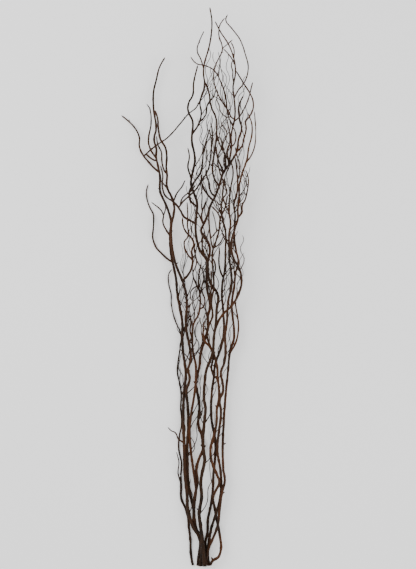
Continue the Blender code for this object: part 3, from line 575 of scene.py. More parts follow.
def corkscrew_heights(path: np.ndarray) -> np.ndarray:
    """Give a limb the third dimension of its curl: its sideways sway, a quarter turn later.

    Args:
        path: The limb's course seen from above.

    Returns:
        A height to add at each point.
    """
    along = distance_along(path)
    if along[-1] < CORKSCREW_LENGTH:
        return np.zeros(len(path))
    width = max(FEWEST_SAMPLES, int(CORKSCREW_LENGTH / SAMPLE_SPACING)) | 1
    padded = np.pad(path, ((width // 2, width // 2), (0, 0)), mode="reflect", reflect_type="odd")
    mean = np.stack([np.convolve(padded[:, k], np.ones(width) / width, "valid") for k in (0, 1)], 1)
    heading = np.gradient(mean, axis=0)
    heading /= np.linalg.norm(heading, axis=1)[:, None]
    sway = (path - mean)[:, 0] * heading[:, 1] - (path - mean)[:, 1] * heading[:, 0]
    later = np.interp(along + CORKSCREW_LENGTH * CORKSCREW_LAG, along, sway)
    fade = np.minimum(1, np.minimum(along, along[-1] - along) / (CORKSCREW_LENGTH * CORKSCREW_FADE))
    return CORKSCREW_DEPTH * fade * later


def sample_places(rings: np.ndarray) -> tuple[np.ndarray, np.ndarray]:
    """Place samples along a limb.

    Args:
        rings: The limb's ring centres.

    Returns:
        The ring before each sample, and the share of the way to the next one.
    """
    along = distance_along(rings[:, :2])
    count = max(FEWEST_SAMPLES, int(along[-1] / SAMPLE_SPACING) + 2)
    places = np.linspace(0, along[-1], count)
    part = np.clip(np.searchsorted(along, places, side="right") - 1, 0, len(along) - 2)
    return part, (places - along[part]) / (along[part + 1] - along[part])


def at_samples(values: np.ndarray, part: np.ndarray, share: np.ndarray) -> np.ndarray:
    """Read the values at a limb's rings at its samples."""
    share = share.reshape(-1, *[1] * (values.ndim - 1))
    return values[part] * (1 - share) + values[part + 1] * share


def sides_of(above: np.ndarray, crossing: np.ndarray, over_all: bool) -> np.ndarray:
    """Say for each contact whether the new limb passes over the laid one.

    Args:
        above: How far the new limb is above the laid one at each contact.
        crossing: The number of the crossing that each contact belongs to.
        over_all: Whether the new limb passes over everything.

    Returns:
        1 for over and -1 for under, for each contact.
    """
    if over_all or len(above) == 0:
        return np.ones(len(above))
    mean = np.bincount(crossing, above) / np.maximum(np.bincount(crossing), 1)
    return np.where(mean[crossing] >= 0, 1.0, -1.0)


def eased(shift: np.ndarray, loose_foot: bool) -> np.ndarray:
    """Spread a limb's shift in height along it, as a springy stem does, and let it sink back.

    Args:
        shift: The shift at each ring.
        loose_foot: Whether the first ring may move.

    Returns:
        The eased shift at each ring.
    """
    spread = shift.copy()
    beside = 0.5 * (shift[:-2] + shift[2:])
    spread[1:-1] = (1 - SHIFT_SPREAD) * shift[1:-1] + SHIFT_SPREAD * beside
    spread[-1] = 0.5 * (shift[-1] + shift[-2])
    if loose_foot:
        spread[0] = 0.5 * (shift[0] + shift[1])
    return SHIFT_KEPT * spread


def on_table(points: list[tuple[float, float]]) -> np.ndarray:
    """Turn photo points into metres on the table, with +Y from the cut ends to the tips."""
    points = np.array(points, dtype=float)
    return np.column_stack([points[:, 0] - MIDDLE_COLUMN, MIDDLE_ROW - points[:, 1]]) * PIXEL


def tapered(along: np.ndarray, root_radius: float, tip_radius: float) -> np.ndarray:
    """Give the radii along a limb, which thins a little faster towards its tip."""
    t = along / along[-1]
    return tip_radius + (root_radius - tip_radius) * (1 - t) ** TAPER_POWER


def length_share(points: np.ndarray) -> np.ndarray:
    """Give the share of the bunch's length that lies before each point."""
    return points[:, 1] / BUNCH_LENGTH + 0.5


def inside_outline(points: np.ndarray) -> bool:
    """Say whether a twig stays inside the crowded heart of the bunch seen from above.

    Args:
        points: The twig's points.

    Returns:
        Whether all of them are inside.
    """
    share = length_share(points)
    left = np.interp(share, HEART_SHARES, HEART_LEFT)
    right = np.interp(share, HEART_SHARES, HEART_RIGHT)
    return bool((points[:, 0] > left).all() and (points[:, 0] < right).all()
                and share.max() < TWIGS_END)


def twig_course(rng: random.Random, parent: Limb, rule: TwigRule) -> tuple[np.ndarray, float]:
    """Draw a curly side twig that leaves a limb and leans back towards the way it grows.

    Args:
        rng: The random draw.
        parent: The limb that the twig grows from.
        rule: The size of the twig.

    Returns:
        The twig's points and its parent's radius at its root.
    """
    along = distance_along(parent.rings)
    place = rng.uniform(*rule.places) * along[-1]
    root = np.array([np.interp(place, along, parent.rings[:, k]) for k in range(3)])
    radius = np.interp(place, along, parent.radii)
    near = CORKSCREW_LENGTH * HEADING_SHARE
    ahead = np.array([np.interp(place + near, along, parent.rings[:, k]) for k in range(2)])
    behind = np.array([np.interp(place - near, along, parent.rings[:, k]) for k in range(2)])
    growth = math.atan2(*(ahead - behind)[::-1])
    length = rng.uniform(*rule.lengths)
    lean = rng.choice((-1, 1)) * math.radians(rng.uniform(*rule.leans))
    curl = rng.uniform(*rule.curls)
    wave = rng.uniform(*rule.waves)
    phase = rng.uniform(0, math.tau)
    slope = rng.uniform(*rule.slopes)
    upright = (growth + math.pi / 2) / 2
    steps = int(length / SAMPLE_SPACING)
    points = [root]
    for step in range(steps):
        t = step / steps
        turn = math.tau * step * SAMPLE_SPACING / wave + phase
        bend = curl * min(1, t / rule.curl_start) * math.sin(turn)
        heading = growth * (1 - t) + upright * t + lean * (1 - t) ** rule.lean_fade + bend
        rise = slope * (1 - (1 - rule.slope_end) * t)
        way = np.array([math.cos(heading), math.sin(heading), rise])
        points.append(points[-1] + SAMPLE_SPACING * way)
    return np.array(points), radius


@dataclass
class Bunch:
    """The limbs laid so far, and the samples of them that the next limb has to clear."""

    limbs: list[Limb] = field(default_factory=list)
    samples: np.ndarray = field(default_factory=lambda: np.zeros((0, 3)))
    sample_radii: np.ndarray = field(default_factory=lambda: np.zeros(0))
    sample_limbs: np.ndarray = field(default_factory=lambda: np.zeros(0, dtype=int))
    sample_stems: np.ndarray = field(default_factory=lambda: np.zeros(0, dtype=int))

    def crossings(self, here: np.ndarray, other: np.ndarray) -> np.ndarray:
        """Number the crossings that the contacts belong to, one for each run along a limb.

        Args:
            here: The new limb's sample at each contact.
            other: The laid sample at each contact.

        Returns:
            The number of each contact's crossing.
        """
        limb = self.sample_limbs[other]
        order = np.lexsort((here, limb))
        new_run = (np.diff(here[order]) > CROSSING_STEPS) | (np.diff(limb[order]) != 0)
        number = np.zeros(len(here), dtype=int)
        number[order] = np.append(0, np.cumsum(new_run))[:len(here)]
        return number

    def contacts(self, samples: np.ndarray, radii: np.ndarray, stem: int,
                 root: np.ndarray | None, root_reach: float) -> tuple[np.ndarray, ...]:
        """List where a new limb's samples meet laid limbs seen from above.

        Args:
            samples: The new limb's samples.
            radii: Its radius at each sample.
            stem: The stem that it belongs to.
            root: Where it starts on its parent, or None for a leader.
            root_reach: How far round the root it may lie against its own stem.

        Returns:
            Its own samples and the laid ones that meet, the height to keep between them, and
            the crossing that each contact belongs to.
        """
        apart = np.linalg.norm(samples[:, None, :2] - self.samples[None, :, :2], axis=2)
        reach = radii[:, None] + self.sample_radii[None, :] + GAP
        apart = np.maximum(apart - SAMPLE_SPACING / 2, 0)
        near = apart < reach
        if root is not None:
            own = (self.sample_stems == stem) & (np.linalg.norm(self.samples - root, axis=1)
                                                 < root_reach)
            young = np.linalg.norm(samples[:, :2] - root[:2], axis=1) < root_reach
            near &= ~(young[:, None] & own[None, :])
        here, other = np.nonzero(near)
        keep = np.sqrt(reach[here, other] ** 2 - apart[here, other] ** 2)
        return here, other, keep, self.crossings(here, other)

    def lay(self, rings: np.ndarray, radii: np.ndarray, sides: int, stem: int,
            root: np.ndarray | None = None, root_reach: float = 0.0,
            over_all: bool = False) -> tuple[Limb, float]:
        """Bend a limb's heights clear of the laid limbs.

        Args:
            rings: The limb's ring centres before it is bent.
            radii: Its radius at each ring.
            sides: The sides of its solid, which set how low it lies on the table.
            stem: The stem that it belongs to.
            root: Where it starts on its parent, or None for a leader.
            root_reach: How far round the root it may lie against its own stem.
            over_all: Whether it passes over every limb that it crosses.

        Returns:
            The laid limb and how far it still is from clear.
        """
        part, share = sample_places(rings)
        radius = at_samples(radii, part, share)
        course = at_samples(rings, part, share)
        here, other, keep, crossing = self.contacts(course, radius, stem, root, root_reach)
        other_height = self.samples[other, 2]
        floor = radius * math.cos(math.pi / sides)
        wish = rings[:, 2].copy()
        shift = np.zeros(len(rings))
        for turn in range(LAY_TURNS):
            height = at_samples(wish + shift, part, share)
            if turn < SIDE_TURNS:
                side = sides_of(height[here] - other_height, crossing, over_all)
            lack = keep - side * (height[here] - other_height)
            up = np.maximum(floor - height, 0)
            down = np.zeros(len(height))
            np.maximum.at(up, here, np.where(side > 0, lack, 0))
            np.maximum.at(down, here, np.where(side < 0, lack, 0))
            rise = np.zeros(len(rings))
            fall = np.zeros(len(rings))
            for end in (part, part + 1):
                np.maximum.at(rise, end, up)
                np.maximum.at(fall, end, down)
            shift += rise - fall
            if root is not None:
                shift[0] = 0
            if turn < LAY_TURNS - CLEAR_TURNS:
                shift = eased(shift, root is None)
        rings = np.column_stack([rings[:, :2], wish + shift])
        height = at_samples(rings[:, 2], part, share)
        lack = keep - side * (height[here] - other_height)
        worst = max(lack.max(initial=0), (floor - height).max())
        return Limb(rings, radii, sides, stem), worst

    def add(self, limb: Limb) -> None:
        """Keep a laid limb, for the next ones to clear.

        Args:
            limb: The laid limb.
        """
        part, share = sample_places(limb.rings)
        radii = at_samples(limb.radii, part, share)
        self.samples = np.concatenate([self.samples, at_samples(limb.rings, part, share)])
        self.sample_radii = np.append(self.sample_radii, radii)
        self.sample_limbs = np.append(self.sample_limbs, np.full(len(radii), len(self.limbs)))
        self.sample_stems = np.append(self.sample_stems, np.full(len(radii), limb.stem))
        self.limbs.append(limb)

    def lay_course(self, course: Course, stem: int, own: list[Limb]) -> Limb:
        """Lay one listed limb: a leader if its stem has no limb yet, otherwise a fork.

        Args:
            course: The limb's course and sizes.
            stem: The stem that it belongs to.
            own: The limbs that the stem already has.

        Returns:
            The laid limb.
        """
        path = curve_through(on_table(course.points), SAMPLE_SPACING)
        heights = corkscrew_heights(path)
        along = distance_along(path)
        tip_height = course.tip_height / MILLIMETRES
        foot_height = course.foot_height / MILLIMETRES
        root_radius = course.root_diameter / 2 / MILLIMETRES
        tip_radius = course.tip_diameter / 2 / MILLIMETRES
        root, root_reach, parent_radius, sides = None, 0.0, 0.0, LEADER_SIDES
        if own:
            parent = min(own, key=lambda limb: np.linalg.norm(nearest_on(limb, path[0])[0][:2]
                                                              - path[0]))
            root, parent_radius = nearest_on(parent, path[0])
            path[0] = root[:2]
            root_radius = min(root_radius, ROOT_SHARE * parent_radius)
            root_reach = FORK_REACH[0] + FORK_REACH[1] * parent_radius
            foot_height, sides = root[2], FORK_SIDES
        rise = (along / along[-1]) ** (1.0 if own else LEADER_RISE_POWER)
        path = np.column_stack([path, foot_height + (tip_height - foot_height) * rise + heights])
        kept = needed_points(path, COURSE_TOLERANCE)
        radii = tapered(along, root_radius, tip_radius)[kept]
        limb, lack = self.lay(path[kept], radii, sides, stem, root, root_reach)
        if lack > LAY_MISS:
            over, over_lack = self.lay(path[kept], radii, sides, stem, root, root_reach, True)
            limb = over if over_lack < lack else limb
        limb.parent_radius = parent_radius
        return limb

    def lay_twigs(self, stem: int, parents: list[Limb], rng: random.Random, rule: TwigRule,
                  ceiling: float = math.inf) -> list[Limb]:
        """Grow curly twigs on some limbs, each one where it finds free room inside the bunch.

        Args:
            stem: The stem that they belong to.
            parents: The limbs that they grow from.
            rng: The random draw.
            rule: The size of the twigs.
            ceiling: The height that no twig may pass.

        Returns:
            The twigs that found room.
        """
        grown = []
        for parent in parents:
            share = length_share(parent.rings)
            dense = (distance_along(parent.rings)[-1]
                     * float(np.interp(share, *TWIG_DENSITY).mean()))
            wanted = int(dense / rule.spacing + rng.random())
            for _ in range(rule.tries * wanted):
                if wanted == 0:
                    break
                path, parent_radius = twig_course(rng, parent, rule)
                if rng.random() > np.interp(length_share(path[:1])[0], *TWIG_DENSITY):
                    continue
                kept = needed_points(path, COURSE_TOLERANCE)
                root_radius = min(rule.diameters[0] / 2, ROOT_SHARE * parent_radius)
                radii = tapered(distance_along(path), root_radius, rule.diameters[1] / 2)[kept]
                if not inside_outline(path):
                    continue
                twig, lack = self.lay(path[kept], radii, TWIG_SIDES, stem, path[0],
                                      TWIG_REACH[0] + TWIG_REACH[1] * parent_radius)
                if lack < LAY_MISS and twig.rings[:, 2].max() < ceiling:
                    twig.parent_radius = parent_radius
                    self.add(twig)
                    grown.append(twig)
                    wanted -= 1
        return grown


@dataclass
class NodeMaker:
    """Adds and joins the nodes of one tree."""

    tree: bpy.types.NodeTree

    def add(self, kind: str, inputs: dict | None = None, **settings: object) -> bpy.types.Node:
        """Add a node.

        Args:
            kind: The node's type.
            inputs: A value or another node's output for each named or numbered input.
            **settings: The node's own settings.

        Returns:
            The new node.
        """
        node = self.tree.nodes.new(kind)
        for name, value in settings.items():
            setattr(node, name, value)
        for name, value in (inputs or {}).items():
            if isinstance(value, bpy.types.NodeSocket):
                self.tree.links.new(value, node.inputs[name])
            else:
                node.inputs[name].default_value = value
        return node

    def result(self, kind: str, inputs: dict | None = None,
               **settings: object) -> bpy.types.NodeSocket:
        """Add a node and give its first output."""
        return self.add(kind, inputs, **settings).outputs[0]

    def math(self, operation: str, *values: object) -> bpy.types.NodeSocket:
        """Add a Math node and give its result."""
        return self.result("ShaderNodeMath", dict(enumerate(values)), operation=operation)

    def scaled(self, vector: object, by: object) -> bpy.types.NodeSocket:
        """Multiply a vector by another, part by part."""
        return self.result("ShaderNodeVectorMath", {0: vector, 1: by}, operation="MULTIPLY")

    def ramp(self, value: object, limits: Range = (0.0, 1.0), start: float = 0.0,
             end: float = 1.0) -> bpy.types.NodeSocket:
        """Map the range between two limits to start..end, held at its ends."""
        values = {"Value": value, 1: limits[0], 2: limits[1], 3: start, 4: end}
        return self.result("ShaderNodeMapRange", values)

    def mixed(self, share: object, first: object, second: object) -> bpy.types.NodeSocket:
        """Mix two colours."""
        node = self.add("ShaderNodeMix", {0: share, 6: first, 7: second}, data_type="RGBA")
        return node.outputs[2]

    def random(self, low: float, high: float, seed: object) -> bpy.types.NodeSocket:
        """Draw a number for each point."""
        values = {2: low, 3: high, "Seed": seed}
        return self.add("FunctionNodeRandomValue", values, data_type="FLOAT").outputs[1]

    def noise(self, vector: object, scale: object, detail: float, more: dict | None = None,
              **settings: object) -> bpy.types.NodeSocket:
        """Add a noise texture and give its value."""
        inputs = {"Vector": vector, "Scale": scale, "Detail": detail, **(more or {})}
        return self.result("ShaderNodeTexNoise", inputs, **settings)

    def dress(self, shader: bpy.types.Node, colour: bpy.types.NodeSocket,
              rough: bpy.types.NodeSocket, height: bpy.types.NodeSocket, bump: Range) -> None:
        """Give a shader its colour, roughness and bump.

        Args:
            shader: The Principled shader.
            colour: Its base colour.
            rough: Its roughness.
            height: The height that its bump follows.
            bump: The bump's strength and distance.
        """
        normal = self.result("ShaderNodeBump", {"Height": height, "Strength": bump[0],
                                                "Distance": bump[1]})
        for name, source in (("Base Color", colour), ("Roughness", rough), ("Normal", normal)):
            self.tree.links.new(source, shader.inputs[name])

    def end_geometry(self, geometry: bpy.types.NodeSocket, material: bpy.types.NodeSocket) -> None:
        """End a geometry tree: shade it smooth, make its instances real and set its material.

        Args:
            geometry: The finished geometry.
            material: Its material.
        """
        smooth = self.result("GeometryNodeSetShadeSmooth", {"Geometry": geometry})
        real = self.result("GeometryNodeRealizeInstances", {"Geometry": smooth})
        dressed = self.result("GeometryNodeSetMaterial", {"Geometry": real, "Material": material})
        self.add("NodeGroupOutput", {"Geometry": dressed})


def new_group(name: str, kind: str, inputs: dict[str, str],
              outputs: dict[str, str]) -> bpy.types.NodeTree:
    """Make a node group with named sockets.

    Args:
        name: The group's name.
        kind: The type of tree.
        inputs: The short type of each input, by name.
        outputs: The short type of each output, by name.

    Returns:
        The new tree, with no nodes.
    """
    tree = bpy.data.node_groups.new(name, kind)
    for side, sockets in (("INPUT", inputs), ("OUTPUT", outputs)):
        for socket, short in sockets.items():
            tree.interface.new_socket(socket, in_out=side, socket_type="NodeSocket" + short)
    return tree


def rgba(colour: Colour) -> tuple[float, float, float, float]:
    """Give a colour its alpha."""
    return (*colour, 1.0)


def new_material(name: str) -> tuple[bpy.types.Material, NodeMaker, bpy.types.Node]:
    """Make a material with only a Principled shader.

    Args:
        name: The material's name.

    Returns:
        The material, a maker for its nodes, and its shader.
    """
    material = bpy.data.materials.new(name)
    material.use_nodes = True
    return material, NodeMaker(material.node_tree), material.node_tree.nodes["Principled BSDF"]


@dataclass(frozen=True)
class BarkGrain:
    """The marks and relief that every bark shares, with the texture values they lie between."""

    fissure_stretch: Triple = (1.0, 0.16, 1.0)
    fissure_detail: float = 5.0
    fissure_roughness: float = 0.62
    fissure_limits: Range = (0.38, 0.64)
    blotch_detail: float = 3.0
    blotch_limits: Range = (0.36, 0.66)
    lenticel_stretch: Triple = (1.0, 2.6, 1.0)
    lenticel_limits: Range = (0.13, 0.24)
    lenticel_height: float = 0.5
    warm_scale: float = 9.0
    warm_detail: float = 2.0
    warm_limits: Range = (0.42, 0.60)

    def group(self) -> bpy.types.NodeTree:
        """Make the shader group that every bark finish uses for its surface.

        Returns:
            The group, with its fissures, blotches, lenticels, warm stretches and height.
        """
        tree = new_group("bark grain", "ShaderNodeTree", {
            "Vector": "Vector", "Fissure Scale": "Float", "Blotch Scale": "Float",
            "Lenticel Scale": "Float"}, {
            "Fissure": "Float", "Blotch": "Float", "Lenticel": "Float", "Warm": "Float",
            "Height": "Float"})
        make = NodeMaker(tree)
        given = make.add("NodeGroupInput").outputs
        place = given["Vector"]
        fine = make.noise(make.scaled(place, self.fissure_stretch), given["Fissure Scale"],
                          self.fissure_detail, {"Roughness": self.fissure_roughness})
        spots = make.noise(place, given["Blotch Scale"], self.blotch_detail)
        cells = make.result("ShaderNodeTexVoronoi", {
            "Vector": make.scaled(place, self.lenticel_stretch), "Scale": given["Lenticel Scale"]})
        stretches = make.noise(place, self.warm_scale, self.warm_detail)
        fissure = make.ramp(fine, self.fissure_limits)
        lenticel = make.ramp(cells, self.lenticel_limits, 1.0, 0.0)
        height = make.math("ADD", fissure, make.math("MULTIPLY", lenticel, self.lenticel_height))
        make.add("NodeGroupOutput", {
            "Fissure": fissure, "Blotch": make.ramp(spots, self.blotch_limits),
            "Lenticel": lenticel, "Warm": make.ramp(stretches, self.warm_limits),
            "Height": height})
        return tree


@dataclass(frozen=True)
class BarkFinish:
    """The bark of one tone: its dark, body, warm and young colours, its warmth and its marks.

    A bump is its strength and its distance, here and in the other finishes.
    """

    name: str
    dark: Colour
    body: Colour
    warm: Colour
    young: Colour
    warmth: float
    lenticel_colour: Colour = (0.15, 0.085, 0.045)
    fissure_scale: float = 760.0
    blotch_scale: float = 70.0
    lenticel_scale: float = 210.0
    young_radii: Range = (0.0008, 0.0024)
    young_share: float = 0.85
    # How far the fissures turn to the dark colour: their own darker bark and painted shade in them
    fissure_dark_and_shade_share: float = 0.55
    lenticel_share: float = 0.35
    roughness: Range = (0.42, 0.68)
    shine: float = 0.12
    bump: Range = (0.7, 0.0004)

    def material(self, grain: bpy.types.NodeTree) -> bpy.types.Material:
        """Make the bark, which turns to young bark where a limb is thin.

        Args:
            grain: The shared bark group.

        Returns:
            The material.
        """
        material, make, shader = new_material(self.name)
        place = make.add("ShaderNodeTexCoord").outputs["Object"]
        marks = make.add("ShaderNodeGroup", {
            "Vector": place, "Fissure Scale": self.fissure_scale,
            "Blotch Scale": self.blotch_scale, "Lenticel Scale": self.lenticel_scale},
            node_tree=grain).outputs
        thickness = make.add("ShaderNodeAttribute", attribute_name="thickness").outputs["Fac"]
        old = make.mixed(marks["Blotch"], rgba(self.dark), rgba(self.body))
        old = make.mixed(make.math("MULTIPLY", marks["Warm"], self.warmth), old, rgba(self.warm))
        young = make.ramp(thickness, self.young_radii, 1.0, 0.0)
        colour = make.mixed(make.math("MULTIPLY", young, self.young_share), old, rgba(self.young))
        # Where the bark relief is low, in its fissures, the colour turns towards the dark colour:
        # partly the fissures' own darker bark, partly painted shade in these recesses
        fissure_dark_and_shade = make.ramp(marks["Fissure"], start=self.fissure_dark_and_shade_share, end=0.0)
        colour = make.mixed(fissure_dark_and_shade, colour, rgba(self.dark))
        dots = make.math("MULTIPLY", marks["Lenticel"], self.lenticel_share)
        colour = make.mixed(dots, colour, rgba(self.lenticel_colour))
        rough = make.ramp(marks["Fissure"], start=self.roughness[1], end=self.roughness[0])
        make.dress(shader, colour, rough, marks["Height"], self.bump)
        shader.inputs["Specular IOR Level"].default_value = self.shine
        return material


@dataclass(frozen=True)
class CutWoodFinish:
    """The wood of a cut end: its pith, sapwood and growth lines."""

    name: str = "cut_wood"
    pith: Colour = (0.16, 0.085, 0.045)
    sapwood: Colour = (0.52, 0.37, 0.22)
    line: Colour = (0.30, 0.19, 0.10)
    grain_scale: float = 1400.0
    grain_detail: float = 4.0
    grain_limits: Range = (0.3, 0.7)
    waviness: float = 0.10
    line_turns: float = 30.0
    line_limits: Range = (0.3, 1.0)
    line_share: float = 0.5
    pith_edge: Range = (0.10, 0.20)
    stain_limits: Range = (0.45, 0.7)
    stain_share: float = 0.35
    roughness: Range = (0.7, 0.9)
    bump: Range = (0.5, 0.0003)

    def material(self) -> bpy.types.Material:
        """Make the cut wood, whose pattern follows the distance from the stem's middle.

        Returns:
            The material.
        """
        material, make, shader = new_material(self.name)
        out = make.add("ShaderNodeAttribute", attribute_name="cut_radius").outputs["Fac"]
        place = make.add("ShaderNodeTexCoord").outputs["Object"]
        grain = make.noise(place, self.grain_scale, self.grain_detail)
        wavy = make.math("ADD", out, make.math("MULTIPLY", grain, self.waviness))
        wave = make.math("SINE", make.math("MULTIPLY", wavy, self.line_turns))
        lines = make.math("MULTIPLY", make.ramp(wave, self.line_limits), self.line_share)
        colour = make.mixed(lines, rgba(self.sapwood), rgba(self.line))
        colour = make.mixed(make.ramp(out, self.pith_edge, 1.0, 0.0), colour, rgba(self.pith))
        stain = make.ramp(grain, self.stain_limits, 0.0, self.stain_share)
        colour = make.mixed(stain, colour, rgba(self.pith))
        rough = make.ramp(grain, self.grain_limits, *self.roughness)
        make.dress(shader, colour, rough, grain, self.bump)
        return material


@dataclass(frozen=True)
class BudFinish:
    """The small scaled buds, with darker spots."""

    name: str = "bud_scale"
    scale: Colour = (0.085, 0.032, 0.017)
    spot: Colour = (0.030, 0.016, 0.011)
    spot_scale: float = 420.0
    spot_detail: float = 3.0
    spot_limits: Range = (0.35, 0.65)
    rough_limits: Range = (0.3, 0.7)
    roughness: Range = (0.35, 0.6)
    bump: Range = (0.4, 0.0002)

    def material(self) -> bpy.types.Material:
        """Make the bud scales.

        Returns:
            The material.
        """
        material, make, shader = new_material(self.name)
        place = make.add("ShaderNodeTexCoord").outputs["Object"]
        spots = make.noise(place, self.spot_scale, self.spot_detail)
        colour = make.mixed(make.ramp(spots, self.spot_limits), rgba(self.spot), rgba(self.scale))
        rough = make.ramp(spots, self.rough_limits, *self.roughness)
        make.dress(shader, colour, rough, spots, self.bump)
        return material


BARKS = {
    Tone.BLACKISH: BarkFinish("bark_blackish", (0.008, 0.0034, 0.0012), (0.028, 0.0115, 0.004),
                              (0.062, 0.022, 0.0065), (0.026, 0.0125, 0.005), 0.45),
    Tone.BROWN: BarkFinish("bark_brown", (0.009, 0.0038, 0.0013), (0.036, 0.0145, 0.005),
                           (0.082, 0.027, 0.008), (0.029, 0.0135, 0.005), 0.60),
    Tone.RED: BarkFinish("bark_red", (0.010, 0.0040, 0.0013), (0.046, 0.0165, 0.0055),
                         (0.105, 0.031, 0.009), (0.034, 0.0145, 0.005), 0.70),
    Tone.ORANGE: BarkFinish("bark_orange", (0.011, 0.0042, 0.0014), (0.048, 0.0172, 0.0056),
                            (0.112, 0.036, 0.0098), (0.036, 0.0155, 0.0052), 0.75),
}


@dataclass(frozen=True)
class LimbTree:
    """The tree that sweeps limbs along their middle lines and raises their bark."""

    ridge_stretch: Triple = (1.0, 0.22, 1.0)
    ridge_detail: float = 3.0
    ridge_roughness: float = 0.55
    knob_scale: float = 95.0
    knob_detail: float = 1.0
    noise_mean: float = 0.5

    def build(self) -> bpy.types.NodeTree:
        """Make the tree.

        Returns:
            The tree, with inputs for the sides, the relief, its grain, the seed and the material.
        """
        tree = new_group("willow limb", "GeometryNodeTree", {
            "Geometry": "Geometry", "Sides": "Int", "Relief": "Float", "Grain": "Float",
            "Seed": "Float", "Bark": "Material"}, {"Geometry": "Geometry"})
        make = NodeMaker(tree)
        given = make.add("NodeGroupInput").outputs
        line = make.result("GeometryNodeMeshToCurve", {"Mesh": given["Geometry"]})
        ring = make.result("GeometryNodeCurvePrimitiveCircle", {"Resolution": given["Sides"],
                                                                "Radius": 1.0})
        radius = make.result("GeometryNodeInputNamedAttribute", {"Name": "thickness"})
        swept = make.result("GeometryNodeCurveToMesh", {
            "Curve": line, "Profile Curve": ring, "Scale": radius, "Fill Caps": True})
        place = make.result("GeometryNodeInputPosition")
        seeded = {"W": given["Seed"]}
        ridges = make.noise(make.scaled(place, self.ridge_stretch), given["Grain"],
                            self.ridge_detail, seeded | {"Roughness": self.ridge_roughness},
                            noise_dimensions="4D")
        knobs = make.noise(place, self.knob_scale, self.knob_detail, seeded, noise_dimensions="4D")
        wave = make.math("ADD", make.math("SUBTRACT", ridges, self.noise_mean),
                         make.math("SUBTRACT", knobs, self.noise_mean))
        lift = make.math("MULTIPLY", make.math("MULTIPLY", wave, given["Relief"]), radius)
        normal = make.result("GeometryNodeInputNormal")
        push = make.result("ShaderNodeVectorMath", {0: normal, "Scale": lift}, operation="SCALE")
        raised = make.result("GeometryNodeSetPosition", {"Geometry": swept, "Offset": push})
        make.end_geometry(raised, given["Bark"])
        return tree


@dataclass(frozen=True)
class BudTree:
    """The tree that sets pointed buds along thin limbs, each one turned past the last.

    A bud's seat and its sizes are in limb radii, its tilt and its loose turn in radians.
    """

    segments: int = 6
    rings: int = 5
    seat: float = 0.92
    tilt: float = 0.22
    loose_turn: float = 0.5
    sizes: Range = (0.75, 1.3)

    def build(self) -> bpy.types.NodeTree:
        """Make the tree.

        Returns:
            The tree, with inputs for the spacing, the bud's size in limb radii, the thickest
            limb that bears buds, the turn between buds, the seed and the material.
        """
        tree = new_group("willow buds", "GeometryNodeTree", {
            "Geometry": "Geometry", "Spacing": "Float", "Length": "Float", "Width": "Float",
            "Thickest": "Float", "Turn": "Float", "Seed": "Int", "Scale": "Material"},
            {"Geometry": "Geometry"})
        make = NodeMaker(tree)
        given = make.add("NodeGroupInput").outputs
        line = make.result("GeometryNodeMeshToCurve", {"Mesh": given["Geometry"]})
        spots = make.add("GeometryNodeCurveToPoints", {"Curve": line, "Length": given["Spacing"]},
                         mode="LENGTH").outputs
        ball = make.result("GeometryNodeMeshUVSphere", {"Segments": self.segments,
                                                        "Rings": self.rings, "Radius": 1.0})
        size = make.result("ShaderNodeCombineXYZ", {0: given["Width"], 1: given["Width"],
                                                    2: given["Length"]})
        seat = make.result("ShaderNodeCombineXYZ", {0: self.seat, 1: 0.0, 2: given["Length"]})
        bud = make.result("GeometryNodeTransform", {
            "Geometry": ball, "Translation": seat, "Rotation": (0.0, self.tilt, 0.0),
            "Scale": size})
        number = make.result("GeometryNodeInputIndex")
        loose = make.random(-self.loose_turn, self.loose_turn, given["Seed"])
        angle = make.math("ADD", make.math("MULTIPLY", number, given["Turn"]), loose)
        turn = make.result("ShaderNodeCombineXYZ", {0: 0.0, 1: 0.0, 2: angle})
        turned = make.result("FunctionNodeEulerToRotation", {0: turn})
        facing = make.result("FunctionNodeRotateRotation", {0: spots["Rotation"], 1: turned},
                             rotation_space="LOCAL")
        radius = make.result("GeometryNodeInputNamedAttribute", {"Name": "thickness"})
        bears = make.result("FunctionNodeCompare", {0: radius, 1: given["Thickest"]},
                            operation="LESS_THAN", data_type="FLOAT")
        grown = make.math("MULTIPLY", radius, make.random(*self.sizes, given["Seed"]))
        placed = make.result("GeometryNodeInstanceOnPoints", {
            "Points": spots[0], "Selection": bears, "Instance": bud, "Rotation": facing,
            "Scale": grown})
        make.end_geometry(placed, given["Scale"])
        return tree


def in_scene(name: str, data: bpy.types.ID) -> bpy.types.Object:
    """Put an object into the scene.

    Args:
        name: The object's name.
        data: Its mesh, lamp or camera.

    Returns:
        The object.
    """
    thing = bpy.data.objects.new(name, data)
    bpy.context.scene.collection.objects.link(thing)
    return thing


def vertex_places(mesh: bpy.types.Mesh) -> np.ndarray:
    """Read where a mesh's vertices are.

    Args:
        mesh: The mesh.

    Returns:
        Its vertices, one to a row.
    """
    flat = np.zeros(len(mesh.vertices) * 3, np.float32)
    mesh.vertices.foreach_get("co", flat)
    return flat.reshape(-1, 3)


def grown_by(tree: bpy.types.NodeTree, base: bpy.types.Mesh,
             values: dict[str, object]) -> bpy.types.Object:
    """Run a geometry tree on a base mesh and keep the result as a plain mesh object.

    Args:
        tree: The geometry tree.
        base: The mesh that it starts from.
        values: A value for each named input.

    Returns:
        An object with the grown mesh and no modifier.
    """
    holder = in_scene(base.name, base)
    modifier = holder.modifiers.new(tree.name, "NODES")
    modifier.node_group = tree
    for item in tree.interface.items_tree:
        if item.in_out == "INPUT" and item.name in values:
            modifier[item.identifier] = values[item.name]
    graph = bpy.context.evaluated_depsgraph_get()
    mesh = bpy.data.meshes.new_from_object(holder.evaluated_get(graph),
                                           preserve_all_data_layers=True, depsgraph=graph)
    holder.modifiers.remove(modifier)
    holder.data = mesh
    return holder


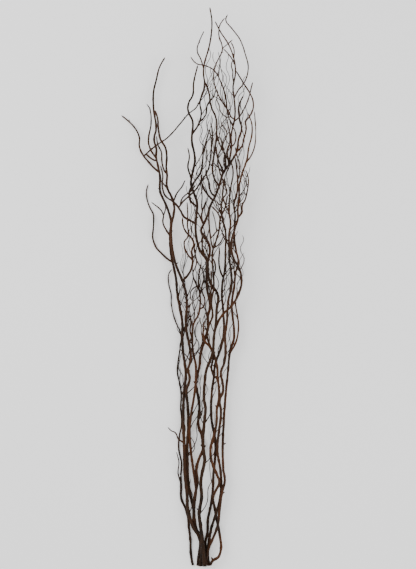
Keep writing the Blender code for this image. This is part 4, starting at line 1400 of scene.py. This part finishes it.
def joined(name: str, objects: list[bpy.types.Object]) -> bpy.types.Object:
    """Join objects into the first one.

    Args:
        name: The joined object's name.
        objects: The objects, of which the first stays.

    Returns:
        The first object, with every mesh.
    """
    with bpy.context.temp_override(active_object=objects[0], object=objects[0],
                                   selected_objects=objects, selected_editable_objects=objects):
        bpy.ops.object.join()
    objects[0].name = name
    objects[0].data.name = name
    return objects[0]


@dataclass(frozen=True)
class Sweep:
    """How limbs of one kind are drawn: sides, ring spacing, relief in radii and its grain."""

    sides: int
    spacing: float
    relief: float
    grain: float


LEADER_SWEEP = Sweep(16, 0.0020, 0.42, 420.0)
FORK_SWEEP = Sweep(10, 0.0022, 0.40, 520.0)
TWIG_SWEEP = Sweep(6, 0.0026, 0.34, 700.0)


@dataclass
class Stem:
    """One willow stem: its limbs, their fullness, nodes and collars, its snags, buds and cut end.

    Lengths and radii are in metres. Swellings and shares are of a limb's radius, and so are a
    bud's length and width and the rim of the cut end.
    """

    name: str
    number: int
    limbs: list[Limb]
    tone: Tone
    box: tuple[Vector, Vector]
    node_spacing: float = 0.034
    node_phase: float = 97.0
    node_swelling: float = 0.13
    node_power: int = 6
    thin_radii: Range = (0.0014, 0.0034)
    thin_swelling: float = 0.50
    twig_share: float = 0.83
    collar_swelling: float = 0.45
    collar_length: float = 0.007
    collar_limit: float = 0.97
    tip_length: float = 0.006
    tip_share: float = 0.35
    table_share: float = 0.85
    snag_spacing: float = 0.110
    snag_places: Range = (0.03, 0.9)
    snag_leans: Range = (0.3, 1.1)
    snag_lengths: Range = (0.002, 0.006)
    snag_share: Range = (0.24, 0.40)
    snag_steps: Triple = (0.0, 0.6, 1.0)
    snag_girths: Triple = (1.2, 1.0, 0.9)
    thinnest_snag: float = 0.0005
    leftmost_snag: float = -0.16
    bud_spacing: float = 0.031
    bud_length: float = 1.25
    bud_width: float = 0.40
    bud_turn: float = 2.4
    thickest_with_buds: float = 0.0016
    bud_room: float = 0.005
    bare_tip: float = 0.0078
    bare_radius: float = 1.0
    cut_rim: float = 0.13
    cut_depth: float = 0.0004

    def middle_line(self, limb: Limb, sweep: Sweep) -> tuple[np.ndarray, np.ndarray]:
        """Draw a limb's smooth middle line and its swollen radii.

        Args:
            limb: The laid limb.
            sweep: How it is drawn.

        Returns:
            The points and the radius at each.
        """
        course = curve_through(np.column_stack([limb.rings, limb.radii]), sweep.spacing)
        path, radii = course[:, :3], course[:, 3].copy()
        along = distance_along(path)
        if limb.sides == TWIG_SIDES:
            radii *= self.twig_share
        else:
            radii *= 1 + self.thin_swelling * np.interp(radii, self.thin_radii, (1.0, 0.0))
        phase = along / self.node_spacing + limb.rings[0, 0] * self.node_phase
        node = (0.5 + 0.5 * np.cos(math.tau * phase)) ** self.node_power
        radii *= 1 + self.node_swelling * node
        if limb.parent_radius:
            flare = radii * (1 + self.collar_swelling * np.exp(-along / self.collar_length))
            limit = max(limb.parent_radius * self.collar_limit, radii[0])
            radii = np.maximum(radii, np.minimum(flare, limit))
        radii *= np.minimum(1.0, self.tip_share + (along[-1] - along) / self.tip_length)
        path[:, 2] = np.maximum(path[:, 2], self.table_share * radii)
        return path, radii

    def snags(self, rng: random.Random) -> list[Limb]:
        """Break off short stubs of lost twigs along the thicker limbs.

        Args:
            rng: The random draw.

        Returns:
            The stubs.
        """
        stubs = []
        for limb in self.limbs:
            if limb.sides == TWIG_SIDES:
                continue
            along = distance_along(limb.rings)
            for _ in range(int(along[-1] / self.snag_spacing)):
                place = rng.uniform(*self.snag_places) * along[-1]
                part = int(np.searchsorted(along, place)) - 1
                share = (place - along[part]) / (along[part + 1] - along[part])
                root = limb.rings[part] * (1 - share) + limb.rings[part + 1] * share
                radius = limb.radii[part]
                ahead = limb.rings[part + 1] - limb.rings[part]
                ahead /= np.linalg.norm(ahead)
                side = np.array([rng.gauss(0, 1) for _ in range(3)])
                side -= side @ ahead * ahead
                side /= np.linalg.norm(side)
                way = side + rng.uniform(*self.snag_leans) * ahead
                way /= np.linalg.norm(way)
                length = radius + rng.uniform(*self.snag_lengths)
                thick = max(self.thinnest_snag, radius * rng.uniform(*self.snag_share))
                rings = root + np.outer(self.snag_steps, way * length)
                if rings[:, 2].min() > thick and rings[:, 0].min() > self.leftmost_snag:
                    stubs.append(Limb(rings, thick * np.array(self.snag_girths), FORK_SIDES,
                                      self.number, radius))
        return stubs

    def lines_mesh(self, label: str, limbs: list[Limb], sweep: Sweep) -> bpy.types.Mesh:
        """Put the middle lines of some limbs into one mesh of edges, with their radii.

        Args:
            label: What to call them.
            limbs: The limbs.
            sweep: How they are drawn.

        Returns:
            The mesh, with the radius of each point in its thickness attribute.
        """
        points, radii, edges = [], [], []
        for limb in limbs:
            path, thick = self.middle_line(limb, sweep)
            start = len(points)
            points += path.tolist()
            radii += thick.tolist()
            edges += [(start + k, start + k + 1) for k in range(len(path) - 1)]
        mesh = bpy.data.meshes.new(f"{self.name}_{label}")
        mesh.from_pydata(points, edges, [])
        layer = mesh.attributes.new("thickness", "FLOAT", "POINT")
        layer.data.foreach_set("value", radii)
        return mesh

    def bud_lines(self) -> bpy.types.Mesh:
        """Give the lines that buds sit on, marked too thick for them at tips and by the box.

        Returns:
            The mesh, with the radius of each point in its thickness attribute.
        """
        mesh = self.lines_mesh("buds", self.limbs, TWIG_SWEEP)
        spots = vertex_places(mesh)
        low, high = (np.array(corner) for corner in self.box)
        low_room = np.array((self.bud_room, self.bud_room, 0.0))
        bare = ((spots < low + low_room) | (spots > high - self.bud_room)).any(axis=1)
        ends = np.zeros(len(mesh.edges) * 2, np.int32)
        mesh.edges.foreach_get("vertices", ends)
        tips = np.setdiff1d(np.arange(len(spots)), ends[::2])
        for step in range(round(self.bare_tip / TWIG_SWEEP.spacing)):
            bare[tips - step] = True
        thickness = mesh.attributes["thickness"].data
        for number in np.flatnonzero(bare):
            thickness[int(number)].value = self.bare_radius
        return mesh

    def swept(self, tree: bpy.types.NodeTree, label: str, limbs: list[Limb], sweep: Sweep,
              bark: bpy.types.Material) -> bpy.types.Object:
        """Sweep some limbs into one closed tube each.

        Args:
            tree: The tree that sweeps limbs.
            label: What to call them.
            limbs: The limbs.
            sweep: How they are drawn.
            bark: Their bark.

        Returns:
            An object with every tube.
        """
        values = {"Sides": sweep.sides, "Relief": sweep.relief, "Grain": sweep.grain,
                  "Seed": float(self.number), "Bark": bark}
        return grown_by(tree, self.lines_mesh(label, limbs, sweep), values)

    def cut_end(self, leader: bpy.types.Object, wood: bpy.types.Material) -> None:
        """Turn the cap at the leader's foot into a sawn face inside a rim of bark.

        Args:
            leader: The swept leader.
            wood: The cut wood.
        """
        leader.data.materials.append(wood)
        foot = Vector(self.limbs[0].rings[0])
        form = bmesh.new()
        form.from_mesh(leader.data)
        layer = form.verts.layers.float.new("cut_radius")
        caps = [face for face in form.faces if len(face.verts) == LEADER_SWEEP.sides]
        cap = min(caps, key=lambda face: (face.calc_center_median() - foot).length)
        rim = self.cut_rim * self.limbs[0].radii[0]
        bmesh.ops.inset_individual(form, faces=[cap], thickness=rim, depth=-self.cut_depth)
        for vertex in cap.verts:
            vertex[layer] = 1.0
        for face in bmesh.ops.poke(form, faces=[cap])["faces"]:
            face.material_index = 1
            face.smooth = False
        form.to_mesh(leader.data)
        form.free()

    def build(self, limb_sweeper: bpy.types.NodeTree, budder: bpy.types.NodeTree,
              bark: bpy.types.Material, wood: bpy.types.Material,
              scales: bpy.types.Material) -> bpy.types.Object:
        """Make the whole stem as one piece.

        Args:
            limb_sweeper: The tree that sweeps limbs.
            budder: The tree that sets buds.
            bark: The stem's bark.
            wood: The cut wood.
            scales: The bud scales.

        Returns:
            The piece.
        """
        rng = random.Random(SNAG_SEED + self.number)
        forks = [limb for limb in self.limbs[1:] if limb.sides == FORK_SIDES] + self.snags(rng)
        twigs = [limb for limb in self.limbs if limb.sides == TWIG_SIDES]
        leader = self.swept(limb_sweeper, "leader", self.limbs[:1], LEADER_SWEEP, bark)
        self.cut_end(leader, wood)
        pieces = [leader, self.swept(limb_sweeper, "forks", forks, FORK_SWEEP, bark)]
        if twigs:
            pieces.append(self.swept(limb_sweeper, "twigs", twigs, TWIG_SWEEP, bark))
        values = {"Spacing": self.bud_spacing, "Length": self.bud_length, "Width": self.bud_width,
                  "Thickest": self.thickest_with_buds, "Turn": self.bud_turn,
                  "Seed": self.number, "Scale": scales}
        pieces.append(grown_by(budder, self.bud_lines(), values))
        stem = joined("willow_" + self.name, pieces)
        spots = np.clip(vertex_places(stem.data), *self.box)
        stem.data.vertices.foreach_set("co", spots.ravel())
        stem.data.update()
        return stem


@dataclass
class WillowBunch:
    """The whole bunch, laid as the solids are, with the small limbs and fine twigs added."""

    box: tuple[Vector, Vector]
    fine_twig_headroom: float = 0.004
    bunch: Bunch = field(default_factory=Bunch)

    def lay_courses(self, stem: int, courses: tuple[Course, ...], own: list[Limb]) -> None:
        """Lay some listed limbs of one stem.

        Args:
            stem: The stem's number.
            courses: The limbs' courses.
            own: The limbs that the stem already has, to which these are added.
        """
        for course in courses:
            limb = self.bunch.lay_course(course, stem, own)
            self.bunch.add(limb)
            own.append(limb)

    def grow(self) -> None:
        """Lay all leaders, bottom layer up, then forks, side twigs, small limbs and fine twigs."""
        own: dict[str, list[Limb]] = {name: [] for name in COURSES}
        ceiling = self.box[1].z - self.fine_twig_headroom
        for chosen in (slice(0, 1), slice(1, None)):
            for stem, (name, courses) in enumerate(COURSES.items()):
                self.lay_courses(stem, courses[chosen], own[name])
        twigs = {}
        for stem, name in enumerate(COURSES):
            rng = random.Random(TWIG_SEED + stem)
            twigs[name] = self.bunch.lay_twigs(stem, own[name], rng, SIDE_TWIGS)
        for stem, name in enumerate(COURSES):
            self.lay_courses(stem, SMALL_COURSES.get(name, ()), own[name])
        for stem, name in enumerate(COURSES):
            rng = random.Random(FINE_TWIG_SEED + stem)
            self.bunch.lay_twigs(stem, own[name] + twigs[name], rng, FINE_TWIGS, ceiling)

    def build(self) -> list[bpy.types.Object]:
        """Make every stem's piece.

        Returns:
            The pieces, in the order of the courses.
        """
        self.grow()
        log.info("laid %d limbs", len(self.bunch.limbs))
        grain = BarkGrain().group()
        barks = {tone: finish.material(grain) for tone, finish in BARKS.items()}
        wood, scales = CutWoodFinish().material(), BudFinish().material()
        limb_sweeper, budder = LimbTree().build(), BudTree().build()
        pieces = []
        for number, name in enumerate(COURSES):
            limbs = [limb for limb in self.bunch.limbs if limb.stem == number]
            stem = Stem(name, number, limbs, STEM_TONES[name], self.box)
            piece = stem.build(limb_sweeper, budder, barks[stem.tone], wood, scales)
            log.info("%s: %d limbs, %d faces", piece.name, len(limbs), len(piece.data.polygons))
            pieces.append(piece)
        return pieces


@dataclass(frozen=True)
class Lamp:
    """A large soft square lamp."""

    name: str
    place: Triple
    side: float
    power: float

    def hang(self) -> None:
        """Hang the lamp, turned towards the middle of the table."""
        lamp = bpy.data.lights.new(self.name, "AREA")
        lamp.size = self.side
        lamp.energy = self.power
        light = in_scene(self.name, lamp)
        light.location = self.place
        light.rotation_euler = (-Vector(self.place)).to_track_quat("-Z", "Y").to_euler()


@dataclass
class Studio:
    """The pale table, the soft lights round it and the camera over it."""

    lamps: tuple[Lamp, ...] = (Lamp("key", (-1.6, 0.9, 2.6), 2.2, 60.0),
                               Lamp("fill", (1.9, -0.6, 2.4), 2.6, 34.0))
    room_strength: float = 1.0
    camera_height: float = 9.0
    sensor: float = 36.0
    farthest_seen: float = 100.0
    bunch_middle_height: float = 0.035
    view_column: float = PHOTO_SIZE[0] / 2
    view_row: float = PHOTO_SIZE[1] / 2
    floor_side: float = 40.0
    floor_colour: Colour = (0.93, 0.93, 0.93)
    floor_roughness: float = 0.9
    floor_shine: float = 0.1
    floor_glow: float = 0.2

    def build(self) -> None:
        """Make the floor, the lights and the camera."""
        self.floor()
        self.lights()
        self.camera()

    def floor(self) -> None:
        """Lay the pale table that the bunch rests on."""
        half = self.floor_side / 2
        mesh = bpy.data.meshes.new("floor")
        corners = [(-half, -half, 0), (half, -half, 0), (half, half, 0), (-half, half, 0)]
        mesh.from_pydata(corners, [], [(0, 1, 2, 3)])
        material, _, shader = new_material("pale_table")
        shader.inputs["Base Color"].default_value = rgba(self.floor_colour)
        shader.inputs["Roughness"].default_value = self.floor_roughness
        shader.inputs["Specular IOR Level"].default_value = self.floor_shine
        shader.inputs["Emission Color"].default_value = rgba(WHITE)
        shader.inputs["Emission Strength"].default_value = self.floor_glow
        mesh.materials.append(material)
        table = in_scene("floor", mesh)
        table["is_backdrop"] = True

    def lights(self) -> None:
        """Hang the lamps over the table, in a bright room."""
        world = bpy.data.worlds.new("bright room")
        world.use_nodes = True
        room = world.node_tree.nodes["Background"]
        room.inputs["Color"].default_value = rgba(WHITE)
        room.inputs["Strength"].default_value = self.room_strength
        bpy.context.scene.world = world
        for lamp in self.lamps:
            lamp.hang()

    def camera(self) -> None:
        """Hang a long-lens camera straight over the photograph's middle, with +Y up the picture."""
        data = bpy.data.cameras.new("camera")
        data.sensor_width = self.sensor
        seen = max(PHOTO_SIZE) * PIXEL
        data.lens = self.sensor * (self.camera_height - self.bunch_middle_height) / seen
        data.clip_end = self.farthest_seen
        camera = in_scene("camera", data)
        camera.location = ((self.view_column - MIDDLE_COLUMN) * PIXEL,
                           (MIDDLE_ROW - self.view_row) * PIXEL, self.camera_height)
        bpy.context.scene.camera = camera


def main() -> None:
    """Build the bunch round its frame, then the studio."""
    logging.basicConfig(level=logging.INFO)
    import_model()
    cad_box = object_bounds()
    pieces = WillowBunch(cad_box).build()
    for piece, node in zip(pieces, COURSES):
        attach(piece, "root")
        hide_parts(node)
        log.info("%s stands for %s", piece.name, node)
    Studio().build()


if __name__ == "__main__":
    main()
